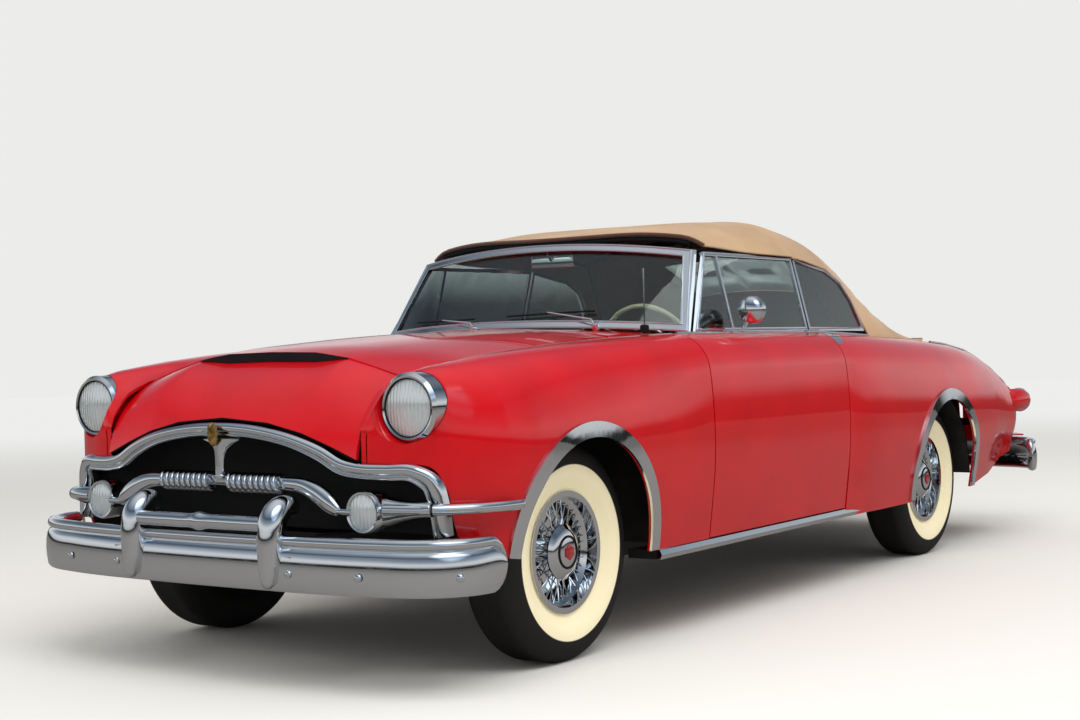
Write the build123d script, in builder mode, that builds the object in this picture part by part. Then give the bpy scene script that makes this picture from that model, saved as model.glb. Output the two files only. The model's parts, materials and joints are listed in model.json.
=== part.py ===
"""A 1950s two-door convertible car with its fabric top raised, as separate panels and running gear.

Millimetres, +Z up, front of the car towards -Y, its left side towards +X.
The origin is on the ground, midway along the car's length and width.
Places along the car are written as distances d behind the front axle, and at(d) turns them into Y.
"""

import math
import os

from build123d import *

# Overall sizes
wheelbase = 3099.0
front_overhang = 880.0
rear_overhang = 1471.0
overall_length = front_overhang + wheelbase + rear_overhang
front_axle_y = front_overhang - overall_length / 2

# Panel thicknesses and gaps
skin = 12.0
door_thickness = 110.0
seam_gap = 7.0
rest_gap = 0.5
cloth = 8.0

# Panel seams along and across the car
hood_rear = 700.0
hood_seam_x = 560.0
door_front = 812.0
door_rear = 1994.0
lid_front = 3262.0
cabin_edge_x = 748.0
belt_z = 1084.0
sill_z = 326.0
floor_z = 322.0
floor_skin = 14.0

# Wheels, tyres and arches
tyre_radius = 364.0
tyre_half_width = 103.0
rim_radius = 203.0
wheel_half_width = 80.0
wheel_x = 752.0
spindle_radius = 17.0
running_gap = 0.05
arch_radius = 390.0
arch_trim_radius = 436.0
wheelhouse_radius = 402.0

# Steering
kingpin_x = 690.0
kingpin_radius = 12.0
steering_wheel_radius = 215.0


def at(d):
    """Y of a place d behind the front axle."""
    return front_axle_y + d


def unit(angle):
    """Direction at an angle in degrees, anticlockwise from the first axis of the plane."""
    return Vector(math.cos(math.radians(angle)), math.sin(math.radians(angle)))


def tangent_arc(start, end, direction):
    """An arc from start to end that leaves along direction, or a line where that is straight."""
    span = end - start
    if abs(direction.cross(span).Z) < 1e-4 * span.length:
        return Line(start, end)
    return TangentArc(start, end, tangent=direction)


def flowing_line(keys):
    """A smooth outline through (u, v, angle) keys, with two tangent arcs between each pair."""
    for (u0, v0, angle0), (u1, v1, angle1) in zip(keys, keys[1:]):
        start, end = Vector(u0, v0), Vector(u1, v1)
        leave, arrive = unit(angle0), unit(angle1)
        span, both = end - start, leave + arrive
        spread = 2 * (1 - leave.dot(arrive))
        if spread < 1e-9:
            reach = span.dot(span) / (4 * span.dot(arrive))
        else:
            along = span.dot(both)
            reach = (-along + math.sqrt(along**2 + spread * span.dot(span))) / spread
        middle = (start + end + (leave - arrive) * reach) * 0.5
        turn = (end - arrive * reach) - (start + leave * reach)
        tangent_arc(start, middle, leave)
        tangent_arc(middle, end, turn.normalized())


def inset(keys, depth):
    """The same keys moved by depth to the right of the direction of travel."""
    return [
        (u + depth * math.sin(math.radians(a)), v - depth * math.cos(math.radians(a)), a)
        for u, v, a in keys
    ]


def band(keys, depth):
    """Closed outline of a wall: one line, the same line moved by depth, and both ends."""
    inner = inset(keys, depth)
    flowing_line(keys)
    flowing_line(inner)
    Line(keys[0][:2], inner[0][:2])
    Line(keys[-1][:2], inner[-1][:2])


def block(x, d, z, mode=Mode.ADD):
    """A box from three (low, high) pairs, with its second pair behind the front axle."""
    centre = ((x[0] + x[1]) / 2, at((d[0] + d[1]) / 2), (z[0] + z[1]) / 2)
    with Locations(centre):
        Box(x[1] - x[0], d[1] - d[0], z[1] - z[0], mode=mode)


def rod(start, end, radius, mode=Mode.ADD):
    """A round bar between two (x, d, z) points."""
    low = Vector(start[0], at(start[1]), start[2])
    way = Vector(end[0], at(end[1]), end[2]) - low
    with Locations(Plane(origin=low, z_dir=way)):
        Cylinder(radius, way.length, align=(Align.CENTER, Align.CENTER, Align.MIN), mode=mode)


def cross_plate(points, x, mode=Mode.ADD):
    """A side-view polygon of (d, z) points carried across the car between two x values."""
    with BuildSketch(Plane.YZ.offset(x[0])) as side_view:
        with BuildLine():
            Polyline(*[(at(d), z) for d, z in points], close=True)
        make_face()
    extrude(side_view.sketch, amount=x[1] - x[0], mode=mode)


def mirrored(piece):
    """The same piece on the other side of the car."""
    return mirror(piece, about=Plane.YZ)


def both_sides(piece):
    """A piece and its mirror image, as one set."""
    with BuildPart() as pair:
        add(piece)
        add(mirrored(piece))
    return pair.part


# Body sides

# Front fender sections: distance d, seam z, crown x and z, side x and z, lower edge x and z
front_fender_rows = [
    (-716, 812, 580, 812, 596, 768, 594, 660),
    (-700, 846, 618, 868, 660, 770, 656, 655),
    (-664, 893, 668, 938, 752, 775, 748, 640),
    (-638, 916, 690, 966, 796, 775, 790, 610),
    (-606, 932, 702, 981, 834, 775, 824, 500),
    (-540, 955, 714, 995, 886, 765, 868, 420),
    (-440, 975, 722, 1007, 925, 750, 902, 400),
    (-300, 1000, 730, 1023, 945, 730, 920, 380),
    (-100, 1024, 740, 1040, 951, 715, 922, 350),
    (152, 1045, 752, 1056, 952, 705, 920, sill_z),
    (500, 1066, 772, 1071, 952, 700, 918, sill_z),
    (door_front - seam_gap / 2, 1082, 798, 1082, 952, 695, 918, sill_z),
]

# Rear quarter sections, with the same columns
quarter_rows = [
    (door_rear + seam_gap / 2, 1076, 798, 1079, 952, 695, 918, 300),
    (2060, 1074, 797, 1077, 956, 695, 920, 296),
    (2130, 1072, 795, 1075, 970, 692, 924, 292),
    (2350, 1066, 790, 1068, 975, 686, 928, 290),
    (2700, 1052, 782, 1053, 976, 680, 928, 290),
    (3099, 1036, 772, 1036, 973, 672, 925, 290),
    (3480, 1016, 758, 1014, 962, 660, 912, 296),
    (3800, 982, 742, 978, 942, 645, 890, 340),
    (4040, 930, 722, 922, 914, 630, 862, 400),
    (4180, 880, 715, 872, 905, 630, 868, 430),
    (4270, 830, 700, 826, 880, 620, 850, 455),
    (4318, 780, 690, 776, 858, 610, 838, 480),
]

side_middle = (cabin_edge_x + 798) / 2
door_rows = [
    (door_front + seam_gap / 2, belt_z, 798, 1082, 952, 695, 918, sill_z + 3),
    (door_rear - seam_gap / 2, belt_z - 4, 798, 1079, 952, 695, 918, sill_z + 3),
]


def side_keys(row, seam_x):
    """A cross-section of the body side from its seam on top, over the crown, down to the lower edge."""
    seam_z, crown_x, crown_z, side_x, side_z, low_x, low_z = row[1:]
    rise = 4 if crown_z > seam_z else -3
    return [(seam_x, seam_z, rise), (crown_x, crown_z, -6), (side_x, side_z, -90), (low_x, low_z, -97)]


def side_loft(rows, seam_x, depth, clear=0.0):
    """A body side panel through cross-sections, depth thick, moved inwards by clear."""
    with BuildPart() as panel:
        for row in rows:
            with BuildSketch(Plane.XZ.offset(-at(row[0]))):
                with BuildLine():
                    band(inset(side_keys(row, seam_x), clear), depth)
                make_face()
        loft(ruled=True)
    return panel.part


def between(rows, d):
    """A section row at any distance, in proportion between the rows around it."""
    for low, high in zip(rows, rows[1:]):
        if low[0] <= d <= high[0]:
            part = (d - low[0]) / (high[0] - low[0])
            return tuple(a + part * (b - a) for a, b in zip(low, high))
    raise ValueError(d)


headlamp_x = 707.0
headlamp_z = 872.0
headlamp_face_d = -662.0
bezel_radius = 108.0

# Hood sections at x: rear z, middle z, top and foot of the scoop step, lip d and z, lip slope
hood_rows = [
    (0, 1118, 1084, 1050, 1017, -744, 842, 236),
    (200, 1114, 1079, 1046, 1014, -744, 827, 239),
    (340, 1106, 1066, 1026, 1022, -741, 796, 246),
    (450, 1094, 1044, 997, 993, -737, 758, 254),
    (hood_seam_x - seam_gap / 2, 1078, 1018, 966, 962, -733, 716, 262),
]
scoop_d = -505.0


def hood_section(row):
    """Closed side-view outline of the hood at one x, with the scoop's step in it."""
    _, rear_z, middle_z, step_top, step_foot, lip_d, lip_z, lip_angle = row
    top = [(at(hood_rear), rear_z, 181), (at(-150), middle_z, 184), (at(scoop_d), step_top, 190)]
    front = [(at(scoop_d), step_foot, 198), (at(lip_d), lip_z, lip_angle)]
    under_top = inset(top, -skin)
    under_front = inset(front, -skin)
    corner_y = at(scoop_d) + skin
    under_top[-1] = (corner_y, step_top - skin, 190)
    under_front[0] = (corner_y, step_foot - skin, 198)
    for keys in (top, front, under_top, under_front):
        flowing_line(keys)
    Line(top[-1][:2], front[0][:2])
    Line(under_top[-1][:2], under_front[0][:2])
    Line(top[0][:2], under_top[0][:2])
    Line(front[-1][:2], under_front[-1][:2])


def make_hood():
    with BuildPart() as hood:
        for sign, row in [(-1, r) for r in hood_rows[:0:-1]] + [(1, r) for r in hood_rows]:
            with BuildSketch(Plane.YZ.offset(sign * row[0])):
                with BuildLine():
                    hood_section(row)
                make_face()
        loft(ruled=True)
    return hood.part


# Trunk lid sections at x: front z, middle z, shoulder z, turn d and z, foot d
lid_rows = [
    (0, 1046, 1022, 930, 4296, 760, 4336),
    (300, 1042, 1017, 924, 4290, 760, 4331),
    (hood_seam_x - seam_gap / 2, 1026, 1000, 908, 4262, 760, 4306),
]
lid_foot_z = 540.0


def make_trunk_lid():
    with BuildPart() as lid:
        for sign, row in [(-1, r) for r in lid_rows[:0:-1]] + [(1, r) for r in lid_rows]:
            x, front_z, middle_z, shoulder_z, turn_d, turn_z, foot_d = row
            keys = [
                (at(lid_front + seam_gap), front_z, -2),
                (at(3700), middle_z, -7),
                (at(4050), shoulder_z, -26),
                (at(turn_d), turn_z, -68),
                (at(foot_d), lid_foot_z, -84),
            ]
            with BuildSketch(Plane.YZ.offset(sign * x)):
                with BuildLine():
                    band(keys, skin)
                make_face()
        loft(ruled=True)
    return lid.part


def make_front_fender():
    with BuildPart() as fender:
        add(side_loft(front_fender_rows, hood_seam_x + seam_gap / 2, skin))
        rod((800, 0, tyre_radius), (1100, 0, tyre_radius), arch_radius, Mode.SUBTRACT)
        rod((headlamp_x, -800, headlamp_z), (headlamp_x, -540, headlamp_z), bezel_radius + 1, Mode.SUBTRACT)
        with BuildSketch(Plane.XZ.offset(-at(-900))) as below:
            with BuildLine():
                flowing_line(surround_top[2:])
                foot_x, foot_z = surround_top[-1][:2]
                Polyline((foot_x, foot_z), (foot_x, 300), (500, 300), surround_top[2][:2])
            make_face()
            offset(amount=2, kind=Kind.ARC, mode=Mode.REPLACE)
        extrude(below.sketch, amount=-900 + 574, mode=Mode.SUBTRACT)
    return fender.part


def make_quarter():
    with BuildPart() as quarter:
        add(side_loft(quarter_rows, hood_seam_x + seam_gap / 2, skin))
        rod((800, wheelbase, tyre_radius), (1100, wheelbase, tyre_radius), arch_radius, Mode.SUBTRACT)
        rod((tail_lamp_x, 4150, tail_lamp_z), (tail_lamp_x, 4500, tail_lamp_z), 63, Mode.SUBTRACT)
        block((0, cabin_edge_x), (1900, lid_front), (800, 1200), Mode.SUBTRACT)
    return quarter.part


def make_arch_trim(rows, axle_d, low_z):
    """Bright trim along a wheel arch, lying on the fender."""
    with BuildPart() as trim:
        picked = [between(rows, axle_d - 445)] + [r for r in rows if abs(r[0] - axle_d) < 444]
        picked += [between(rows, axle_d + 445)]
        add(side_loft(picked, hood_seam_x + seam_gap / 2, 9, -9 - rest_gap))
        with BuildSketch(Plane.YZ.offset(850)) as ring:
            with Locations((at(axle_d), tyre_radius)):
                Circle(arch_trim_radius)
                Circle(arch_radius - 6, mode=Mode.SUBTRACT)
            with Locations((at(axle_d), low_z - 500)):
                Rectangle(2000, 1000, mode=Mode.SUBTRACT)
        extrude(ring.sketch, amount=200, mode=Mode.INTERSECT)
    return trim.part


def make_door():
    with BuildPart() as door:
        add(side_loft(door_rows, cabin_edge_x, door_thickness))
    return door.part


# Windows

glass_lean = 13.8
side_window_plane = Plane(
    origin=(cabin_edge_x + 12, 0, belt_z),
    x_dir=(0, 1, 0),
    z_dir=(math.cos(math.radians(glass_lean)), 0, math.sin(math.radians(glass_lean))),
)
window_top = 330.0
window_foot = 1.6
frame_width = 16.0
door_window = [(1014, window_foot), (1218, window_top), (door_rear - 9, window_top), (door_rear - 9, window_foot)]
quarter_window = [
    (door_rear + 5, window_foot),
    (door_rear + 5, window_top),
    (2090, window_top - 14),
    (2300, 286),
    (2430, 232),
    (2510, 140),
    (2572, -4),
]
vent_divider_d = 1318.0


def window_pieces(corners, divider=None):
    """A window's bright frame and its glass, from the frame's outer corners as (d, height) points."""
    with BuildPart() as frame:
        with BuildSketch(side_window_plane) as ring:
            with BuildLine():
                Polyline(*[(at(d), h) for d, h in corners], close=True)
            make_face()
            offset(amount=-frame_width, kind=Kind.INTERSECTION, mode=Mode.SUBTRACT)
            if divider:
                with Locations((at(divider), (window_top + window_foot) / 2)):
                    Rectangle(frame_width, window_top - window_foot - frame_width)
        extrude(ring.sketch, amount=8, both=True)
    with BuildPart() as glass:
        with BuildSketch(side_window_plane) as pane:
            with BuildLine():
                Polyline(*[(at(d), h) for d, h in corners], close=True)
            make_face()
            offset(amount=-frame_width - rest_gap, kind=Kind.INTERSECTION, mode=Mode.REPLACE)
            if divider:
                with Locations((at(divider), window_top / 2)):
                    Rectangle(frame_width + 2 * rest_gap, 2 * window_top, mode=Mode.SUBTRACT)
        extrude(pane.sketch, amount=2.5, both=True)
    return frame.part, glass.part


# Windshield: front-view corners and plan curve at two heights
screen_base = (744.0, 1010.0, 1090.0)
screen_top = (666.0, 1218.0, 1414.0)
screen_base_middle = (850.0, 1120.0)
screen_top_middle = (1100.0, 1462.0)
screen_frame = 30.0


def screen_outline(grow):
    """Front-view outline of the windshield, made larger by grow, as a face ahead of the car's middle."""
    left_low, right_low = (-screen_base[0], screen_base[2]), (screen_base[0], screen_base[2])
    left_high, right_high = (-screen_top[0], screen_top[2]), (screen_top[0], screen_top[2])
    with BuildSketch(Plane.XZ.offset(-at(600))) as view:
        with BuildLine():
            ThreePointArc(left_low, (0, screen_base_middle[1]), right_low)
            Line(right_low, right_high)
            ThreePointArc(right_high, (0, screen_top_middle[1]), left_high)
            Line(left_high, left_low)
        make_face()
        if grow:
            offset(amount=grow, kind=Kind.ARC, mode=Mode.REPLACE)
    return view.sketch


def screen_wall(front, depth):
    """The windshield's curved, raked wall, from front, a distance ahead of the glass, through depth."""
    rake = (screen_top[1] - screen_base[1]) / (screen_top[2] - screen_base[2])
    middle_rake = (screen_top_middle[0] - screen_base_middle[0]) / (
        screen_top_middle[1] - screen_base_middle[1]
    )
    with BuildPart() as wall:
        for z in (1030.0, 1530.0):
            side_d = screen_base[1] + rake * (z - screen_base[2]) - front
            middle_d = screen_base_middle[0] + middle_rake * (z - screen_base_middle[1]) - front
            with BuildSketch(Plane.XY.offset(z)):
                with BuildLine():
                    wide = 760
                    ThreePointArc((-wide, at(side_d + 8)), (0, at(middle_d)), (wide, at(side_d + 8)))
                    Line((wide, at(side_d + 8)), (wide, at(side_d + 8 + depth)))
                    ThreePointArc(
                        (wide, at(side_d + 8 + depth)), (0, at(middle_d + depth)), (-wide, at(side_d + 8 + depth))
                    )
                    Line((-wide, at(side_d + 8 + depth)), (-wide, at(side_d + 8)))
                make_face()
        loft(ruled=True)
    return wall.part


def make_windshield():
    """The windshield's bright frame and its glass."""
    with BuildPart() as frame:
        add(screen_wall(14, 34))
        extrude(screen_outline(0), amount=-900, mode=Mode.INTERSECT)
        extrude(screen_outline(-screen_frame), amount=-900, mode=Mode.SUBTRACT)
    with BuildPart() as glass:
        add(screen_wall(2, 7))
        extrude(screen_outline(-screen_frame - rest_gap), amount=-900, mode=Mode.INTERSECT)
    return frame.part, glass.part


# Fabric top sections: distance d, edge x and z, shoulder x and z, crown z
top_rows = [
    (1080, 655, 1432, 560, 1456, 1474),
    (1226, 676, 1432, 585, 1472, 1500),
    (1500, 690, 1426, 596, 1500, 1544),
    (1800, 700, 1424, 600, 1518, 1571),
    (1985, 704, 1420, 602, 1520, 1579),
    (2000, 770, 1086, 602, 1520, 1580),
    (2300, 774, 1080, 594, 1482, 1562),
    (2550, 776, 1072, 574, 1406, 1494),
    (2800, 772, 1064, 548, 1294, 1376),
    (3000, 762, 1056, 522, 1196, 1258),
    (3180, 740, 1050, 482, 1106, 1136),
    (3254, 700, 1047, 440, 1064, 1076),
]


def make_top_shell(depth, clear=0.0):
    """The fabric's whole shape before its openings are cut, depth thick, moved inwards by clear."""
    with BuildPart() as half:
        for d, edge_x, edge_z, shoulder_x, shoulder_z, crown_z in top_rows:
            steep = math.degrees(math.atan2(shoulder_z - edge_z, edge_x - shoulder_x))
            slope = math.degrees(math.atan2(crown_z - shoulder_z, shoulder_x))
            keys = [
                (0, crown_z, 0),
                (shoulder_x, shoulder_z, -(steep + slope) / 2.6),
                (edge_x, edge_z, -min(steep + 12, 86)),
            ]
            with BuildSketch(Plane.XZ.offset(-at(d))):
                with BuildLine():
                    band(inset(keys, clear), depth)
                make_face()
        loft(ruled=True)
    return both_sides(half.part)


top_side_cut = [(1960, 1040), (1960, 1417), (2090, 1404), (2300, 1372), (2440, 1318), (2524, 1228), (2594, 1040)]
rear_light = [(-330, 2640), (330, 2640), (290, 2930), (-290, 2930)]


def make_soft_top():
    """The fabric top and its rear window."""
    shell = make_top_shell(cloth)
    with BuildPart() as top:
        add(shell)
        cross_plate(top_side_cut, (-900, 900), Mode.SUBTRACT)
        with BuildSketch(Plane.XY.offset(1300)) as ahead:
            with BuildLine():
                ThreePointArc((-720, at(1254)), (0, at(screen_top_middle[0] + 26)), (720, at(1254)))
                Polyline((720, at(1254)), (720, at(900)), (-720, at(900)), (-720, at(1254)))
            make_face()
        extrude(ahead.sketch, amount=300, mode=Mode.SUBTRACT)
        with BuildSketch(Plane.XY.offset(1000)) as opening:
            with BuildLine():
                Polyline(*[(x, at(d)) for x, d in rear_light], close=True)
            make_face()
        extrude(opening.sketch, amount=600, mode=Mode.SUBTRACT)
    with BuildPart() as light:
        add(shell)
        with BuildSketch(Plane.XY.offset(1000)) as pane:
            with BuildLine():
                Polyline(*[(x, at(d)) for x, d in rear_light], close=True)
            make_face()
            offset(amount=-rest_gap, kind=Kind.INTERSECTION, mode=Mode.REPLACE)
        extrude(pane.sketch, amount=600, mode=Mode.INTERSECT)
    return top.part, light.part


def make_top_bows():
    """Steel bows that carry the fabric, clear below it."""
    with BuildPart() as bows:
        for d in (1290, 1640, 2000, 2330):
            row = between(top_rows, d)
            shoulder_x, shoulder_z, crown_z = row[3], row[4] - cloth - 12, row[5] - cloth - 12
            with BuildSketch(Plane.XZ.offset(-at(d - 12))) as bow:
                with BuildLine():
                    keys = [(-shoulder_x + 6, shoulder_z - 6, 20), (0, crown_z, 0), (shoulder_x - 6, shoulder_z - 6, -20)]
                    band(keys, 20)
                make_face()
            extrude(bow.sketch, amount=-24)
        for side in (-1, 1):
            x = side * (between(top_rows, 1640)[3] - 20)
            for start, end in ((1290, 1640), (1640, 2000), (2000, 2330)):
                low, high = between(top_rows, start), between(top_rows, end)
                rod((x, start, low[4] - cloth - 34), (x, end, high[4] - cloth - 34), 9)
            rod((x, 2330, between(top_rows, 2330)[4] - cloth - 34), (x + side * 60, 2560, 1060), 9)
    return bows.part


# Front end

front_plan = [(0, -776, 0), (300, -768, 4), (519, -746, 9), (690, -706, 19), (800, -648, 38), (852, -592, 56)]
surround_top = [
    (0, 827, 0),
    (336, 785, -15),
    (512, 712, -27),
    (560, 704, -4),
    (730, 700, -2),
    (796, 672, -60),
    (832, 480, -82),
]
surround_foot = [
    (772, 480, 98),
    (746, 590, 112),
    (690, 646, 172),
    (560, 652, 181),
    (478, 664, 150),
    (320, 742, 161),
    (0, 782, 180),
]


def make_grille_surround():
    """The bright arch over the grille mouth, with a wing over each parking lamp."""
    with BuildPart() as half:
        with BuildSketch(Plane.XY.offset(400)) as plan:
            with BuildLine():
                band([(x, at(d), a) for x, d, a in front_plan], -40)
            make_face()
        extrude(plan.sketch, amount=500)
        with BuildSketch(Plane.XZ.offset(-at(-900))) as view:
            with BuildLine():
                flowing_line(surround_top)
                Line(surround_top[-1][:2], surround_foot[0][:2])
                flowing_line(surround_foot)
                Line(surround_foot[-1][:2], surround_top[0][:2])
            make_face()
        extrude(view.sketch, amount=-500, mode=Mode.INTERSECT)
    with BuildPart() as surround:
        add(half.part)
        add(mirrored(half.part))
    return surround.part


tooth_count = 9
tooth_pitch = 25.0
tooth_start_x = 45.0
grille_bar_z = 632.0
grille_bar_d = -742.0


# Centre line of the grille bar's left half: x, z
grille_bar_line = [(0, 640), (210, 635), (400, 621), (500, 551)]


def make_grille_bar():
    """The toothed bar across the grille mouth, with its centre post."""
    with BuildPart() as bar:
        for side in (-1, 1):
            for start, end in zip(grille_bar_line, grille_bar_line[1:]):
                rod((side * start[0], grille_bar_d, start[1]), (side * end[0], grille_bar_d, end[1]), 22)
            for x, z in grille_bar_line[1:-1]:
                with Locations((side * x, at(grille_bar_d), z)):
                    Sphere(22)
        rod((0, grille_bar_d - 4, 650), (0, grille_bar_d - 4, 781.5), 17)
        for side in (-1, 1):
            for n in range(tooth_count):
                with Locations((side * (tooth_start_x + 8 + n * tooth_pitch), at(grille_bar_d - 8), grille_bar_z)):
                    Box(11, 60, 74)
    return bar.part


def make_grille_back():
    """Dark screen behind the grille mouth and the parking lamps."""
    with BuildPart() as back:
        block((-540, 540), (-592, -584), (480, 800))
        block((-780, 780), (-592, -584), (480, 690))
    return back.part


def make_headlamps():
    """Bright bezels with their buckets, and the lenses in them."""
    with BuildPart() as bezel:
        with BuildSketch(Plane.XY.offset(headlamp_z)) as half:
            with BuildLine():
                x, face = headlamp_x, at(headlamp_face_d)
                Polyline(
                    (x + 90, face),
                    (x + 98, face - 3),
                    (x + bezel_radius, face + 8),
                    (x + bezel_radius, face + 60),
                    (x + 96, face + 62),
                    (x + 60, face + 100),
                    (x, face + 104),
                    (x, face + 98),
                    (x + 56, face + 94),
                    (x + 90, face + 58),
                    close=True,
                )
            make_face()
        revolve(half.sketch, axis=Axis((headlamp_x, 0, headlamp_z), (0, 1, 0)))
    with BuildPart() as lens:
        with BuildSketch(Plane.XY.offset(headlamp_z)) as half:
            with BuildLine():
                x, face, edge = headlamp_x, at(headlamp_face_d), 90 - rest_gap
                Line((x, face - 6), (x + 8, face - 6))
                ThreePointArc((x + 8, face - 6), (x + edge / 2, face - 3), (x + edge, face + 6))
                Line((x + edge, face + 6), (x + edge, face + 14))
                Polyline((x + edge, face + 14), (x + edge / 2, face + 5), (x, face + 5), (x, face - 6))
            make_face()
        revolve(half.sketch, axis=Axis((headlamp_x, 0, headlamp_z), (0, 1, 0)))
    return both_sides(bezel.part), both_sides(lens.part)


parking_x = 590.0
parking_z = 557.0
parking_face_d = -748.0
parking_radius = 66.0


def make_parking_lamps():
    """Round lamp pods beside the grille mouth, and their lenses."""
    with BuildPart() as pod:
        with BuildSketch(Plane.XY.offset(parking_z)) as half:
            with BuildLine():
                x, face = parking_x, at(parking_face_d)
                Polyline(
                    (x + 56, face),
                    (x + 62, face - 2),
                    (x + parking_radius, face + 8),
                    (x + parking_radius, face + 60),
                    (x + 50, face + 110),
                    (x, face + 140),
                    (x, face + 132),
                    (x + 44, face + 104),
                    (x + 56, face + 60),
                    close=True,
                )
            make_face()
        revolve(half.sketch, axis=Axis((parking_x, 0, parking_z), (0, 1, 0)))
    with BuildPart() as lens:
        with BuildSketch(Plane.XY.offset(parking_z)) as half:
            with BuildLine():
                x, face, edge = parking_x, at(parking_face_d), 56 - rest_gap
                Line((x, face - 4), (x + 8, face - 4))
                ThreePointArc((x + 8, face - 4), (x + edge / 2, face - 2), (x + edge, face + 4))
                Line((x + edge, face + 4), (x + edge, face + 12))
                Polyline((x + edge, face + 12), (x + edge / 2, face + 6), (x, face + 6), (x, face - 4))
            make_face()
        revolve(half.sketch, axis=Axis((parking_x, 0, parking_z), (0, 1, 0)))
    return both_sides(pod.part), both_sides(lens.part)


wing_bar_z = 566.0


def make_wing_bars():
    """Bright bars from the parking lamps round the fender corners."""
    with BuildPart() as wing:
        with BuildLine(Plane.XY) as path:
            keys = [(662, -728, 12), (775, -694, 24), (872, -612, 50), (927, -512, 66), (946, -430, 78)]
            flowing_line([(x, at(d), a) for x, d, a in keys])
        with BuildSketch(Plane(path.line @ 0, z_dir=path.line % 0)) as section:
            Circle(17)
        bar = sweep(section.sketch, path=path.line, mode=Mode.PRIVATE)
        add(bar.moved(Location((0, 0, wing_bar_z))))
    return both_sides(wing.part)


def bumper_sweep(plan, profile, depth):
    """Half a bumper blade from the middle of the car outwards, and its mirror image, joined."""
    with BuildPart() as half:
        with BuildLine(Plane.XY) as path:
            flowing_line([(x, at(d), a) for x, d, a in plan])
        with BuildSketch(Plane.YZ) as section:
            with BuildLine():
                band([(at(d), z, a) for d, z, a in profile], depth)
            make_face()
        sweep(section.sketch, path=path.line)
    with BuildPart() as blade:
        add(half.part)
        add(mirrored(half.part))
    return blade.part


def make_front_bumper():
    plan = [(0, 0, 0), (480, 14, 4), (800, 74, 20), (948, 214, 68), (966, 350, 88)]
    plan = [(x, d - 868, a) for x, d, a in plan]
    profile = [(-858, 312, 104), (-868, 390, 90), (-858, 462, 74), (-842, 486, 40)]
    blade = bumper_sweep(plan, profile, 9)
    with BuildPart() as bumper:
        add(blade)
        for side in (-1, 1):
            x = sorted((side * 345, side * 395))
            block(x, (-858, -700), (385, 425))
    return bumper.part


def make_bumper_guards():
    """Curved uprights on the front bumper and the bar between them."""
    with BuildPart() as guard:
        cross_plate(
            [(-880, 330), (-880, 520), (-850, 580), (-790, 600), (-744, 596), (-744, 546), (-790, 544), (-822, 520), (-826, 330)],
            (272, 342),
        )
        fillet(guard.edges().filter_by(Axis.X), 12)
        block((200, 400), (-868.5, -800), (300, 488), Mode.SUBTRACT)
    with BuildPart() as bar:
        rod((-271.5, -850, 520), (271.5, -850, 520), 25)
        rod((-22, -850, 520), (22, -850, 520), 30)
    return both_sides(guard.part), bar.part


def make_rear_bumper():
    plan = [(0, 4568, 0), (560, 4560, -3), (830, 4512, -22), (948, 4390, -70), (966, 4270, -86)]
    profile = [(4560, 312, 76), (4570, 396, 90), (4560, 484, 104)]
    with BuildPart() as half:
        with BuildLine(Plane.XY) as path:
            flowing_line([(x, at(d), a) for x, d, a in plan])
        with BuildSketch(Plane.YZ) as section:
            with BuildLine():
                band([(at(d), z, a) for d, z, a in profile], -9)
            make_face()
        sweep(section.sketch, path=path.line)
    with BuildPart() as bumper:
        add(half.part)
        add(mirrored(half.part))
        for side in (-1, 1):
            block(sorted((side * 345, side * 395)), (4300, 4564), (410, 450))
    return bumper.part


def make_splash_pan():
    """Painted pan that closes the space between the tail and the rear bumper."""
    with BuildPart() as pan:
        with BuildSketch(Plane.XY.offset(500)) as plan:
            with BuildLine():
                Polyline(
                    (-790, at(4331)), (790, at(4331)), (880, at(4380)), (800, at(4490)), (560, at(4540)),
                    (-560, at(4540)), (-800, at(4490)), (-880, at(4380)), close=True,
                )
            make_face()
        extrude(plan.sketch, amount=8)
    return pan.part


tail_lamp_x = 845.0
tail_lamp_z = 692.0


def make_tail_lamps():
    """Painted tail pods and the round lamps at their ends."""
    with BuildPart() as pod:
        with BuildSketch(Plane.XY.offset(tail_lamp_z)) as half:
            with BuildLine():
                x = tail_lamp_x
                Polyline((x, at(4190)), (x + 40, at(4190)), (x + 62, at(4230)), (x + 62, at(4420)), (x, at(4420)), close=True)
            make_face()
        revolve(half.sketch, axis=Axis((tail_lamp_x, 0, tail_lamp_z), (0, 1, 0)))
    with BuildPart() as lens:
        with BuildSketch(Plane.XY.offset(tail_lamp_z)) as half:
            with BuildLine():
                x = tail_lamp_x
                Line((x, at(4420 + rest_gap)), (x + 60, at(4420 + rest_gap)))
                ThreePointArc((x + 60, at(4420 + rest_gap)), (x + 44, at(4466)), (x + 8, at(4486)))
                Polyline((x + 8, at(4486)), (x, at(4486)), (x, at(4420 + rest_gap)))
            make_face()
        revolve(half.sketch, axis=Axis((tail_lamp_x, 0, tail_lamp_z), (0, 1, 0)))
    return both_sides(pod.part), both_sides(lens.part)


def make_tail_panel():
    """Rear body panel around the trunk opening."""
    with BuildPart() as panel:
        with BuildSketch(Plane.XZ.offset(-at(4318 + rest_gap))) as view:
            RectangleRounded(1680, 310, 60)
            with Locations((0, 63)):
                Rectangle(2 * (hood_seam_x + seam_gap / 2), 310, mode=Mode.SUBTRACT)
        extrude(view.sketch.moved(Location((0, 0, 625))), amount=-skin)
        for side in (-1, 1):
            x = side * tail_lamp_x
            rod((x, 4100, tail_lamp_z), (x, 4500, tail_lamp_z), 63, Mode.SUBTRACT)
    return panel.part


# Running gear

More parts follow.
